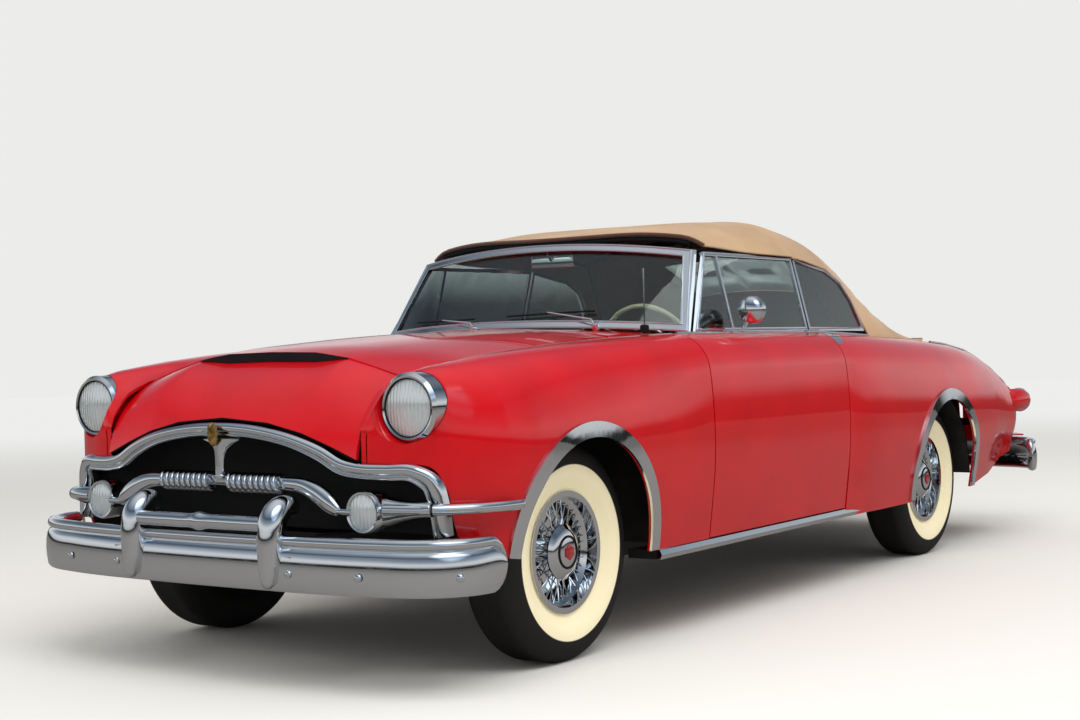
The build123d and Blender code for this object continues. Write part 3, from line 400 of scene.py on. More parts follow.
class WhitewallTyre(Finish):
    """Moulded black rubber with a wide cream band on its outer wall."""

    name = "whitewall_rubber"
    slot = "tyre_rubber"
    band_radius = 0.292
    full_radius = 0.4
    wall_x = 0.03

    def __init__(self, centre: Point, outward: float) -> None:
        """Keeps where the wheel stands.

        Args:
            centre: The middle of the wheel.
            outward: 1 on the car's left side, -1 on its right.
        """
        super().__init__()
        self.centre, self.outward = centre, outward

    def dress(self, tree: Tree, shader: Node) -> None:
        """Cream inside one radius on the outer wall, black elsewhere, with the fine grain of the mould."""
        settings = {"operation": "SUBTRACT", 1: self.centre}
        at_hub = add_node(tree, "ShaderNodeVectorMath", settings, {0: self.coords(tree)})
        parts = add_node(tree, "ShaderNodeSeparateXYZ", links={"Vector": at_hub.outputs[0]})
        flat = add_node(tree, "ShaderNodeCombineXYZ", {"X": 0.0}, {"Y": parts.outputs["Y"], "Z": parts.outputs["Z"]})
        radius = add_node(tree, "ShaderNodeVectorMath", {"operation": "LENGTH"}, {0: flat.outputs[0]})
        settings = {"operation": "DIVIDE", 1: self.full_radius}
        scaled = add_node(tree, "ShaderNodeMath", settings, {0: radius.outputs["Value"]})
        edge = self.band_radius / self.full_radius
        stops = [(0.0, "E8DDB8"), (edge - 0.004, "EADFBC"), (edge + 0.002, "141312"), (1.0, "1B1A19")]
        band = colour_ramp(tree, scaled.outputs[0], stops)
        side = add_node(tree, "ShaderNodeMath", {"operation": "MULTIPLY", 1: self.outward}, {0: parts.outputs["X"]})
        outer = add_node(tree, "ShaderNodeMath", {"operation": "GREATER_THAN", 1: self.wall_x}, {0: side.outputs[0]})
        settings = {"data_type": "RGBA", 6: linear("171615")}
        mix = add_node(tree, "ShaderNodeMix", settings, {0: outer.outputs[0], 7: band})
        tree.links.new(mix.outputs[2], shader.inputs["Base Color"])
        self.settle(shader, {"Roughness": 0.62, "Specular IOR Level": 0.35})
        self.bump(tree, shader, self.noise(tree, 4.0, 3.0), 0.25)


class ChassisPaint(Finish):
    """Satin black chassis enamel, dusty from the road."""

    name = "chassis_enamel"
    slot = "frame_steel"
    shades = ("0E0E0E", "211F1D")
    roughness = 0.55

    def dress(self, tree: Tree, shader: Node) -> None:
        """Black with pale dust in patches."""
        self.patches(tree, shader, 90.0, 5.0, [(0.35, self.shades[0]), (0.75, self.shades[1])])
        self.settle(shader, {"Roughness": self.roughness})
        self.bump(tree, shader, self.noise(tree, 3.0, 2.0), 0.1)


class MattBlack(ChassisPaint):
    """Near-black matt finish: black paint on seals, blades and rings, and painted shade on the screen behind the
    grille, the hood slot's sheet and the corner pans, where little light gets in.
    """

    name = "matt_black"
    slot = "dark_screen"
    # Darker than black paint: on the screens and pans this colour is painted shade for the dark inside the car.
    shades = ("070707", "0C0C0C")
    roughness = 0.8


class Underseal(ChassisPaint):
    """Brushed-on bitumen underseal and dark carpet on the floor, rough and dull."""

    name = "underseal"
    slot = "body_paint"
    shades = ("141212", "241F1C")
    roughness = 0.95


class CastIron(ChassisPaint):
    """Cast engine iron in old green-grey enamel."""

    name = "engine_enamel"
    slot = "engine_iron"
    shades = ("2B332E", "3D463F")
    roughness = 0.6


class ExhaustSteel(ChassisPaint):
    """Mild steel pipe, browned by heat."""

    name = "exhaust_steel"
    slot = "bare_steel"
    shades = ("5A5048", "7A7370")
    roughness = 0.5


class SeatLeather(Finish):
    """Pigmented hide, pebbled, worn smoother on its crowns."""

    name = "seat_hide"
    slot = "seat_leather"
    pebble_mm = 3.0

    def dress(self, tree: Tree, shader: Node) -> None:
        """Pebble grain over uneven dye."""
        self.patches(tree, shader, 120.0, 3.0, [(0.3, "5A1512"), (0.7, "6E1C17")])
        self.settle(shader, {"Roughness": 0.45, "Specular IOR Level": 0.5})
        settings = {"Scale": 1000.0 / self.pebble_mm}
        cells = add_node(tree, "ShaderNodeTexVoronoi", settings, {"Vector": self.coords(tree)})
        self.bump(tree, shader, cells.outputs["Distance"], 0.3)


class IvoryPlastic(Finish):
    """Moulded ivory plastic, polished by hands."""

    name = "ivory_plastic"
    slot = "wheel_plastic"

    def dress(self, tree: Tree, shader: Node) -> None:
        """Warm white with faint yellowing."""
        self.patches(tree, shader, 80.0, 2.0, [(0.3, "DCCFA8"), (0.7, "E8DEBE")])
        self.settle(shader, {"Roughness": 0.22, "Subsurface Weight": 0.05, "Coat Weight": 0.4})


class Brass(Finish):
    """Gilt brass, lightly worn."""

    name = "gilt_brass"
    slot = "bright_trim"

    def dress(self, tree: Tree, shader: Node) -> None:
        """Warm metal with darker hollows."""
        self.patches(tree, shader, 12.0, 3.0, [(0.35, "8C6A3A"), (0.7, "D9B878")])
        self.settle(shader, {"Metallic": 1.0, "Roughness": 0.22})


class RedEnamel(Finish):
    """Fired red enamel with a glassy top."""

    name = "red_enamel"
    slot = "wire_wheel"

    def dress(self, tree: Tree, shader: Node) -> None:
        """Deep red with a slight cloud."""
        self.patches(tree, shader, 20.0, 2.0, [(0.3, "7D0B12"), (0.7, "9A1018")])
        self.settle(shader, {"Roughness": 0.15, "Coat Weight": 0.8})


class StudioFloor(Finish):
    """Seamless paper, pale and even."""

    name = "studio_paper"
    fade = (4.0, 17.0)

    def dress(self, tree: Tree, shader: Node) -> None:
        """Pale grey with a trace of tooth, that meets the backdrop without a line, and painted darker where polished
        surfaces mirror it.
        """
        self.settle(shader, {"Roughness": 0.9, "Specular IOR Level": 0.1, "Emission Color": linear("ECECEA")})
        rays = add_node(tree, "ShaderNodeLightPath")
        away = add_node(tree, "ShaderNodeVectorMath", {"operation": "LENGTH"}, {"Vector": self.coords(tree)})
        settings = {"interpolation_type": "SMOOTHSTEP", "From Min": self.fade[0], "From Max": self.fade[1]}
        fade = add_node(tree, "ShaderNodeMapRange", settings, {"Value": away.outputs["Value"]})
        links = {0: fade.outputs["Result"], 1: rays.outputs["Is Camera Ray"]}
        seen = add_node(tree, "ShaderNodeMath", {"operation": "MULTIPLY"}, links)
        tree.links.new(seen.outputs[0], shader.inputs["Emission Strength"])
        # Painted reflection: the floor takes a darker grey in what polished surfaces mirror than where it is lit.
        settings = {"Color1": linear("CFCDC9"), "Color2": linear("7C7976")}
        dim = add_node(tree, "ShaderNodeMixRGB", settings, {"Fac": rays.outputs["Is Glossy Ray"]})
        links = {"Fac": seen.outputs[0], "Color1": dim.outputs[0]}
        gone = add_node(tree, "ShaderNodeMixRGB", {"Color2": linear("000000")}, links)
        tree.links.new(gone.outputs[0], shader.inputs["Base Color"])
        self.bump(tree, shader, self.noise(tree, 8.0, 2.0), 0.1)


class Flow:
    """A smooth curve through places, measured along its length."""

    fine = 24

    def __init__(self, knots: Sequence[Sequence[float]]) -> None:
        """Lays the curve through its knots.

        Args:
            knots: Places, each with any further values that change along the curve.
        """
        points = [Vector(knot) for knot in knots]
        gaps = [max(1e-9, (b.xyz - a.xyz).length) for a, b in zip(points, points[1:])]
        slopes = [(b - a) / gap for a, b, gap in zip(points, points[1:], gaps)]
        lean = [slopes[0]]
        for index in range(1, len(points) - 1):
            before, after = gaps[index - 1], gaps[index]
            lean.append((slopes[index - 1] * after + slopes[index] * before) / (before + after))
        lean.append(slopes[-1])
        self.spots: list[Vector] = []
        for index, gap in enumerate(gaps):
            start, end = points[index], points[index + 1]
            for step in range(self.fine):
                t = step / self.fine
                spot = start * (2 * t**3 - 3 * t**2 + 1) + end * (3 * t**2 - 2 * t**3)
                spot += (lean[index] * (t**3 - 2 * t**2 + t) + lean[index + 1] * (t**3 - t**2)) * gap
                self.spots.append(spot)
        self.spots.append(points[-1])
        self.marks = [0.0]
        for a, b in zip(self.spots, self.spots[1:]):
            self.marks.append(self.marks[-1] + (b.xyz - a.xyz).length)

    @property
    def length(self) -> float:
        """The curve's whole length."""
        return self.marks[-1]

    def at(self, distance: float) -> Vector:
        """The place at a distance from the start.

        Args:
            distance: Metres along the curve.

        Returns:
            The place, with its further values.
        """
        distance = min(max(distance, 0.0), self.length)
        for index in range(len(self.marks) - 1):
            if distance <= self.marks[index + 1]:
                share = (distance - self.marks[index]) / max(1e-9, self.marks[index + 1] - self.marks[index])
                return self.spots[index].lerp(self.spots[index + 1], share)
        return self.spots[-1]


class Workbench:
    """Common steps in making a piece."""

    @staticmethod
    def clear() -> None:
        """Leaves edit mode and deselects everything."""
        if bpy.context.object and bpy.context.object.mode != "OBJECT":
            bpy.ops.object.mode_set(mode="OBJECT")
        for thing in bpy.context.selected_objects:
            thing.select_set(False)

    @staticmethod
    def pick(piece: Piece) -> None:
        """Makes one piece the only selected and active one."""
        Workbench.clear()
        piece.select_set(True)
        bpy.context.view_layer.objects.active = piece

    @staticmethod
    @contextmanager
    def editing(piece: Piece) -> Iterator[None]:
        """Holds a piece in edit mode for the steps inside."""
        Workbench.pick(piece)
        bpy.ops.object.mode_set(mode="EDIT")
        yield
        bpy.ops.object.mode_set(mode="OBJECT")

    @staticmethod
    def apply_modifiers(piece: Piece) -> None:
        """Applies every modifier on a piece, in order."""
        Workbench.pick(piece)
        for modifier in list(piece.modifiers):
            bpy.ops.object.modifier_apply(modifier=modifier.name)

    @staticmethod
    def settle_place(piece: Piece) -> None:
        """Moves a piece's place into its mesh."""
        Workbench.pick(piece)
        if piece.type != "MESH":
            bpy.ops.object.convert(target="MESH")
        bpy.ops.object.transform_apply(location=True, rotation=True, scale=True)

    @staticmethod
    def clean(piece: Piece, gap: float = 1e-5, outward: bool = True) -> None:
        """Merges doubled vertices and turns the faces outwards."""
        with Workbench.editing(piece):
            bpy.ops.mesh.select_all(action="SELECT")
            bpy.ops.mesh.remove_doubles(threshold=gap)
            if outward:
                bpy.ops.mesh.normals_make_consistent(inside=False)

    @staticmethod
    def smooth(piece: Piece, angle: float) -> None:
        """Shades a piece smooth below an angle in degrees."""
        Workbench.pick(piece)
        bpy.ops.object.shade_smooth_by_angle(angle=math.radians(angle))

    @staticmethod
    def thicken(piece: Piece, thickness: float, offset: float) -> None:
        """Gives a sheet a wall: outwards at an offset of 1, inwards at -1."""
        wall = piece.modifiers.new("wall", "SOLIDIFY")
        wall.thickness, wall.offset = thickness, offset

    @staticmethod
    def round_edges(piece: Piece, radius: float, segments: int = 3) -> None:
        """Rounds a piece's sharp edges."""
        bevel = piece.modifiers.new("edge", "BEVEL")
        bevel.width, bevel.segments, bevel.limit_method = radius, segments, "ANGLE"

    @classmethod
    def finish(
        cls,
        piece: Piece,
        name: str,
        finish: Finish,
        body: str = "car_body",
        replaces: Sequence[str] = (),
        angle: float = 35.0,
        slot: Optional[str] = None,
    ) -> Piece:
        """Names, shades and colours a piece and lets it ride on its body.

        Args:
            piece: The finished mesh or curve.
            name: Its name.
            finish: Its surface finish.
            body: The body of the car that it moves with.
            replaces: The nodes that it stands for.
            angle: Edges flatter than this are shaded smooth, in degrees.
            slot: Not used.

        Returns:
            The piece.
        """
        cls.settle_place(piece)
        piece.name = name
        piece.data.name = name
        piece.data.materials.clear()
        piece.data.materials.append(finish.material())
        if angle:
            cls.smooth(piece, angle)
        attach(piece, body)
        if replaces:
            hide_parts(*replaces)
        log.info("made %s", name)
        return piece

    @classmethod
    def finish_pair(
        cls,
        piece: Piece,
        name: str,
        finish: Finish,
        bodies: tuple[str, str] = ON_CAR,
        angle: float = 50.0,
    ) -> None:
        """Finishes a left-hand piece and its mirror image.

        Args:
            piece: The left-hand piece.
            name: The name of both, without their side.
            finish: Their finish.
            bodies: The left and the right body.
            angle: Edges flatter than this are shaded smooth, in degrees.
        """
        cls.settle_place(piece)
        twin = cls.mirrored(piece)
        cls.finish(piece, f"{name}_left", finish, bodies[0], angle=angle)
        cls.finish(twin, f"{name}_right", finish, bodies[1], angle=angle)

    @classmethod
    def line(cls, points: Sequence[Sequence[float]], radius: float, resolution: int = 3) -> Piece:
        """A bar along a line through points.

        Args:
            points: Places along its middle.
            radius: Half its width.
            resolution: Rings round a quarter of it.

        Returns:
            The bar, as a mesh.
        """
        cls.clear()
        curve = bpy.data.curves.new("line", "CURVE")
        curve.dimensions = "3D"
        curve.bevel_depth = radius
        curve.bevel_resolution = resolution
        curve.use_fill_caps = True
        spline = curve.splines.new("POLY")
        spline.points.add(len(points) - 1)
        for knot, place in zip(spline.points, points):
            knot.co = (*place, 1.0)
        bar = bpy.data.objects.new("line", curve)
        bpy.context.scene.collection.objects.link(bar)
        cls.pick(bar)
        bpy.ops.object.convert(target="MESH")
        return bpy.context.object

    @classmethod
    def ribbon(
        cls, rows: Sequence[Sequence[Sequence[float]]], thickness: float = 0.0, offset: float = 1.0, edge: float = 0.0
    ) -> Piece:
        """A sheet through rows of places.

        Args:
            rows: Places, row by row, all rows equally long.
            thickness: The sheet's thickness, or 0 for none.
            offset: 1 to thicken outwards, -1 inwards.
            edge: The radius of its edges.

        Returns:
            The sheet, as a mesh.
        """
        cls.clear()
        bpy.ops.mesh.primitive_grid_add(x_subdivisions=len(rows[0]) - 1, y_subdivisions=len(rows) - 1)
        sheet = bpy.context.object
        places = [place for row in rows for place in row]
        assert len(sheet.data.vertices) == len(places)
        for vertex, place in zip(sheet.data.vertices, places):
            vertex.co = place
        if thickness:
            cls.thicken(sheet, thickness, offset)
        if edge:
            cls.round_edges(sheet, edge, 2)
        cls.apply_modifiers(sheet)
        return sheet

    @classmethod
    def sweep(
        cls,
        path: Flow,
        profile: Sequence[tuple[float, float]],
        stations: int,
        up: Sequence[float] = (0, 0, 1),
        ends: float = 0.0,
        depth: Optional[float] = None,
    ) -> Piece:
        """A closed outline drawn along a curve.

        Args:
            path: The curve, each place with the outline's scale as its fourth value.
            profile: The outline, as places across and along the up direction.
            stations: Outlines along the curve.
            up: The direction that the outline keeps upright.
            ends: The length over which the ends are rounded off.
            depth: The scale along the up direction, if it isn't the fourth value.

        Returns:
            The bar, as a mesh.
        """
        marks = [path.length * index / (stations - 1) for index in range(stations)]
        if ends:
            shares = (0.0, 0.02, 0.08, 0.2, 0.4, 0.7, 1.0)
            marks = [m for m in marks if ends < m < path.length - ends]
            marks = [ends * t for t in shares] + marks + [path.length - ends * t for t in reversed(shares)]
        rows = []
        for mark in marks:
            spot = path.at(mark)
            along = (path.at(mark + 0.003).xyz - path.at(mark - 0.003).xyz).normalized()
            across = along.cross(Vector(up)).normalized()
            rise = across.cross(along)
            short = min(1.0, mark / ends, (path.length - mark) / ends) if ends else 1.0
            taper = max(0.04, math.sqrt(1 - (1 - short) ** 2))
            tall = spot[3] if depth is None else depth
            outline = (*profile, profile[0])
            rows.append([spot.xyz + across * (u * spot[3] * taper) + rise * (v * tall * taper) for u, v in outline])
        bar = cls.ribbon(rows)
        with cls.editing(bar):
            bpy.ops.mesh.select_all(action="SELECT")
            bpy.ops.mesh.remove_doubles(threshold=1e-5)
            bpy.ops.mesh.fill_holes(sides=0)
            bpy.ops.mesh.select_all(action="SELECT")
            bpy.ops.mesh.normals_make_consistent(inside=False)
        return bar

    @classmethod
    def tube(
        cls,
        knots: Sequence[Sequence[float]],
        stations: int = 32,
        up: Sequence[float] = (0, 0, 1),
        ends: float = 0.0,
        squash: float = 1.0,
        sides: int = 20,
    ) -> Piece:
        """A round bar of changing thickness along a smooth curve.

        Args:
            knots: Places with the radius as a fourth value.
            stations: Rings along the curve.
            up: The direction that the rings keep upright.
            ends: The length over which the ends are rounded off.
            squash: Thickness along the up direction as a share of the radius.
            sides: Corners round a ring.

        Returns:
            The bar, as a mesh.
        """
        turns = [2 * math.pi * index / sides for index in range(sides)]
        circle = [(math.cos(turn), math.sin(turn) * squash) for turn in turns]
        return cls.sweep(Flow(knots), circle, stations, up, ends)

    @classmethod
    def disc(
        cls,
        centre: Sequence[float],
        way: Sequence[float],
        radius: float,
        depth: float,
        sides: int = 32,
        edge: float = 0.0,
    ) -> Piece:
        """A turned disc or rod with rounded edges.

        Args:
            centre: The middle of it.
            way: The direction of its axis.
            radius: Its radius.
            depth: Its length along the axis.
            sides: Corners round it.
            edge: The radius of its edges.

        Returns:
            The disc, as a mesh.
        """
        cls.clear()
        turn = Vector(way).to_track_quat("Z", "Y").to_euler()
        bpy.ops.mesh.primitive_cylinder_add(vertices=sides, radius=radius, depth=depth, location=centre, rotation=turn)
        disc = bpy.context.object
        if edge:
            cls.round_edges(disc, edge)
            cls.apply_modifiers(disc)
        return disc

    @classmethod
    def box(cls, centre: Sequence[float], size: Sequence[float]) -> Piece:
        """A rectangular bar or plate.

        Args:
            centre: The middle of it.
            size: Its sizes along x, y and z.

        Returns:
            The box, as a mesh.
        """
        cls.clear()
        bpy.ops.mesh.primitive_cube_add(size=1.0, location=centre, scale=size)
        box = bpy.context.object
        cls.settle_place(box)
        return box

    @classmethod
    def ring(cls, centre: Sequence[float], way: Sequence[float], radius: float, thick: float) -> Piece:
        """A round ring.

        Args:
            centre: The middle of it.
            way: The direction of its axis.
            radius: The radius of its middle line.
            thick: Half its thickness.

        Returns:
            The ring, as a mesh.
        """
        cls.clear()
        turn = Vector(way).to_track_quat("Z", "Y").to_euler()
        segments = {"major_segments": 48, "minor_segments": 10}
        bpy.ops.mesh.primitive_torus_add(
            major_radius=radius, minor_radius=thick, location=centre, rotation=turn, **segments
        )
        return bpy.context.object

    @classmethod
    def dome(
        cls, centre: Sequence[float], way: Sequence[float], radius: float, height: float, sides: int = 32
    ) -> Piece:
        """A closed half ball, pressed flatter or drawn longer.

        Args:
            centre: The middle of its foot.
            way: The direction it bulges in.
            radius: The radius of its foot.
            height: How far it bulges.
            sides: Corners round it.

        Returns:
            The dome, as a mesh.
        """
        cls.clear()
        turn = Vector(way).to_track_quat("Z", "Y").to_euler()
        bpy.ops.mesh.primitive_uv_sphere_add(segments=sides, ring_count=16, radius=1.0)
        dome = bpy.context.object
        with cls.editing(dome):
            bpy.ops.mesh.select_all(action="SELECT")
            bpy.ops.mesh.bisect(plane_co=(0, 0, 0), plane_no=(0, 0, 1), clear_inner=True, use_fill=True)
        dome.scale = (radius, radius, height)
        dome.rotation_euler = turn
        dome.location = centre
        return dome

    @classmethod
    def join(cls, pieces: Sequence[Piece]) -> Piece:
        """Joins pieces into the first of them."""
        cls.clear()
        for piece in pieces:
            piece.select_set(True)
        bpy.context.view_layer.objects.active = pieces[0]
        bpy.ops.object.join()
        return bpy.context.object

    @classmethod
    def mirrored(cls, piece: Piece) -> Piece:
        """A copy of a mesh on the other side of the car."""
        twin = piece.copy()
        twin.data = piece.data.copy()
        bpy.context.scene.collection.objects.link(twin)
        twin.data.transform(Matrix.Scale(-1, 4, (1, 0, 0)))
        cls.clean(twin)
        return twin


class Skins:
    """The car's own solids with merged vertices, smooth shading and their finishes."""

    def __init__(self) -> None:
        """Starts with no node dressed."""
        self.pieces: dict[str, Piece] = {}
        self._trees: dict[str, BVHTree] = {}

    def copy(self, node: str) -> Piece:
        """A merged copy of a node's mesh.

        Args:
            node: The node's name.

        Returns:
            The copy, as an object of its own.
        """
        source = frame["nodes"][node]
        piece = bpy.data.objects.new(node + "_skin", source.data.copy())
        bpy.context.scene.collection.objects.link(piece)
        Workbench.clean(piece, outward=False)
        return piece

    def dress(self, node: str, finish: Finish, angle: float = 32.0, slot: Optional[str] = None) -> Piece:
        """Stands a smoothly shaded copy in place of a node.

        Args:
            node: The node's name.
            finish: Its surface finish.
            angle: Edges flatter than this are shaded smooth, in degrees.
            slot: The material slot, if it isn't the finish's own.

        Returns:
            The copy.
        """
        piece = self.copy(node)
        body = frame["nodes"][node]["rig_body"]
        self.pieces[node] = Workbench.finish(piece, node + "_skin", finish, body, [node], 0.0, slot)
        self.shade(node, self.pieces[node], angle)
        return self.pieces[node]

    def second(self, node: str, finish: Finish, picks: Callable[[Vector, Vector], bool]) -> None:
        """Gives some of a dressed solid's faces another finish.

        Args:
            node: The node's name.
            finish: The other finish.
            picks: Whether a face takes it, by its middle and its direction.
        """
        data = self.pieces[node].data
        data.materials.append(finish.material())
        for polygon in data.polygons:
            if picks(polygon.center, polygon.normal):
                polygon.material_index = len(data.materials) - 1

    @staticmethod
    def shade(node: str, piece: Piece, angle: float) -> None:
        """Shades a copy by its solid's true surface directions, blended where two faces meet flatly.

        Args:
            node: The solid's node.
            piece: Its merged copy.
            angle: Faces that meet at less than this are blended, in degrees.
        """
        source = frame["nodes"][node].data
        spots = KDTree(len(source.vertices))
        ways: list[Optional[Vector]] = [None] * len(source.vertices)
        for corner, way in zip(source.loops, source.corner_normals):
            ways[corner.vertex_index] = way.vector.copy()
        for index, vertex in enumerate(source.vertices):
            spots.insert(vertex.co, index)
        spots.balance()
        limit = math.cos(math.radians(angle))
        near = [[ways[i] for _, i, _ in spots.find_range(v.co, 2e-5) if ways[i]] for v in piece.data.vertices]
        made = [Vector((0, 0, 1))] * len(piece.data.loops)
        for polygon in piece.data.polygons:
            for index in polygon.loop_indices:
                choices = near[piece.data.loops[index].vertex_index] or [polygon.normal]
                own = max(choices, key=polygon.normal.dot)
                made[index] = sum((way for way in choices if way.dot(own) > limit), Vector()).normalized()
        piece.data.shade_smooth()
        piece.data.normals_split_custom_set(made)

    def cast(self, node: str, start: Sequence[float], way: Sequence[float]) -> Optional[tuple[Vector, Vector]]:
        """Where a straight line first meets a node.

        Args:
            node: The node's name.
            start: Where the line starts.
            way: Its direction.

        Returns:
            The place and the surface's normal, or None.
        """
        if node not in self._trees:
            source = frame["nodes"][node].data
            polygons = [tuple(p.vertices) for p in source.polygons]
            self._trees[node] = BVHTree.FromPolygons([v.co for v in source.vertices], polygons)
        place, normal, _, _ = self._trees[node].ray_cast(Vector(start), Vector(way))
        return None if place is None else (place, normal)

    def top(self, nodes: Sequence[str], x: float, d: float, proud: float = 0.0) -> Optional[Vector]:
        """A place on top of the car's body.

        Args:
            nodes: The panels to look at.
            x: Distance from the car's middle.
            d: Distance behind the front axle.
            proud: How far above the surface the place lies.

        Returns:
            The place, or None where no panel is.
        """
        for node in nodes:
            hit = self.cast(node, (x, behind(d), 1.6), (0, 0, -1))
            if hit:
                return hit[0] + Vector((0, 0, proud))
        return None


def arc_depth(x: float, middle: float, side: float, half_width: float) -> float:
    """The depth of a shallow arc seen from above.

    Args:
        x: Distance from the car's middle.
        middle: The depth at the middle.
        side: The depth at the arc's end.
        half_width: Where the arc ends.

    Returns:
        The depth at x.
    """
    return middle + (side - middle) * (x / half_width) ** 2


def steps(start: float, end: float, count: int) -> list[float]:
    """Evenly spaced values from start to end.

    Args:
        start: The first value.
        end: The last value.
        count: How many values.

    Returns:
        The values.
    """
    return [start + (end - start) * i / (count - 1) for i in range(count)]


@dataclass(frozen=True)
class PhotoCamera:
    """The camera at the photograph's place and angle."""

    place: Point = (3.965, -6.483, 1.059)
    yaw_deg: float = -34.81
    pitch_deg: float = -0.57
    roll_deg: float = -1.3
    lens_mm: float = 56.3
    sensor_mm: float = 36.0

    def build(self) -> None:
        """Makes the camera and hands it to the scene."""
        yaw, pitch, roll = (math.radians(a) for a in (self.yaw_deg, self.pitch_deg, self.roll_deg))
        ahead = Vector((math.cos(pitch) * math.sin(yaw), math.cos(pitch) * math.cos(yaw), math.sin(pitch)))
        level = Vector((math.cos(yaw), -math.sin(yaw), 0))
        above = level.cross(ahead)
        right = math.cos(roll) * level + math.sin(roll) * above
        up = -math.sin(roll) * level + math.cos(roll) * above
        lens = bpy.data.cameras.new("photo_camera")
        lens.lens = self.lens_mm
        lens.sensor_width = self.sensor_mm
        lens.clip_start, lens.clip_end = 0.1, 100.0
        camera = bpy.data.objects.new("photo_camera", lens)
        bpy.context.scene.collection.objects.link(camera)
        camera.matrix_world = Matrix(
            (
                (right.x, up.x, -ahead.x, self.place[0]),
                (right.y, up.y, -ahead.y, self.place[1]),
                (right.z, up.z, -ahead.z, self.place[2]),
                (0, 0, 0, 1),
            )
        )
        bpy.context.scene.camera = camera


@dataclass(frozen=True)
class SoftLight:
    """A large soft lamp aimed at the car."""

    name: str
    place: Point
    size: float
    watts: float

    def build(self) -> None:
        """Makes the lamp."""
        lamp = bpy.data.lights.new(self.name, "AREA")
        lamp.shape = "RECTANGLE"
        lamp.size, lamp.size_y = self.size, self.size * 0.6
        lamp.energy = self.watts
        holder = bpy.data.objects.new(self.name, lamp)
        bpy.context.scene.collection.objects.link(holder)
        holder.location = self.place
        holder.visible_glossy = False
        holder.rotation_euler = (Vector((0, 0, 0.6)) - Vector(self.place)).to_track_quat("-Z", "Y").to_euler()


@dataclass(frozen=True)
class Studio:
    """Pale floor, soft light and a plain bright surround."""

    lights: tuple[SoftLight, ...] = (
        SoftLight("key_light", (3.2, -4.0, 7.0), 7.5, 560.0),
        SoftLight("fill_light", (-6.0, -7.0, 5.0), 8.0, 110.0),
        SoftLight("rear_light", (4.0, 6.5, 5.5), 7.0, 240.0),
    )
    floor_size: float = 60.0
    # What polished surfaces mirror: height from the horizon up, shade
    mirrored_sky: tuple[tuple[float, str], ...] = (
        (0.0, "2B2B2C"), (0.025, "3A3938"), (0.06, "D9DBDD"), (0.15, "F2F4F6"), (0.30, "9FACB9"), (0.52, "526071"),
        (0.78, "A3AFBC"), (1.0, "E6EBF0"),
    )
    highlight_way: Point = (0.62, -0.30, 0.72)
    highlight_reach: Pair = (0.86, 0.97)
    mirrored_strength: Pair = (0.85, 4.2)
    backdrop: str = "ECECEA"
    surround: str = "F0F0EE"
    surround_strength: float = 0.95

    def build(self) -> None:
        """Makes the floor, the lamps and the world."""
        Workbench.clear()
        bpy.ops.mesh.primitive_plane_add(size=self.floor_size)
        floor = bpy.context.object
        floor.name = "studio_floor"
        floor.data.materials.append(StudioFloor().material())
        for light in self.lights:
            light.build()
        world = bpy.data.worlds.new("studio")
        bpy.context.scene.world = world
        world.use_nodes = True
        world.node_tree.nodes.clear()
        self.colour_world(world.node_tree)

    def colour_world(self, tree: Tree) -> None:
        """Colours what the camera sees, what lights the car and what its surfaces mirror.

        Args:
            tree: The world's node tree.
        """
        way = add_node(tree, "ShaderNodeTexCoord").outputs["Generated"]
        height = add_node(tree, "ShaderNodeSeparateXYZ", links={"Vector": way})
        sky = colour_ramp(tree, height.outputs["Z"], self.mirrored_sky)
        settings = {"operation": "DOT_PRODUCT", 1: Vector(self.highlight_way).normalized()}
        lobe = add_node(tree, "ShaderNodeVectorMath", settings, {0: way})
        (near, full), (dim, bright) = self.highlight_reach, self.mirrored_strength
        settings = {"From Min": near, "From Max": full, "To Min": dim, "To Max": bright}
        settings["interpolation_type"] = "SMOOTHSTEP"
        glow = add_node(tree, "ShaderNodeMapRange", settings, {"Value": lobe.outputs["Value"]})
        links = {"Color": sky, "Strength": glow.outputs["Result"]}
        mirrored = add_node(tree, "ShaderNodeBackground", links=links)
        settings = {"Color": linear(self.backdrop), "Strength": 1.0}
        seen = add_node(tree, "ShaderNodeBackground", settings)
        settings = {"Color": linear(self.surround), "Strength": self.surround_strength}
        even = add_node(tree, "ShaderNodeBackground", settings)
        rays = add_node(tree, "ShaderNodeLightPath")
        links = {"Fac": rays.outputs["Is Glossy Ray"], 1: even.outputs[0], 2: mirrored.outputs[0]}
        glossy = add_node(tree, "ShaderNodeMixShader", links=links)
        links = {"Fac": rays.outputs["Is Camera Ray"], 1: glossy.outputs[0], 2: seen.outputs[0]}
        mix = add_node(tree, "ShaderNodeMixShader", links=links)
        add_node(tree, "ShaderNodeOutputWorld", links={"Surface": mix.outputs[0]})


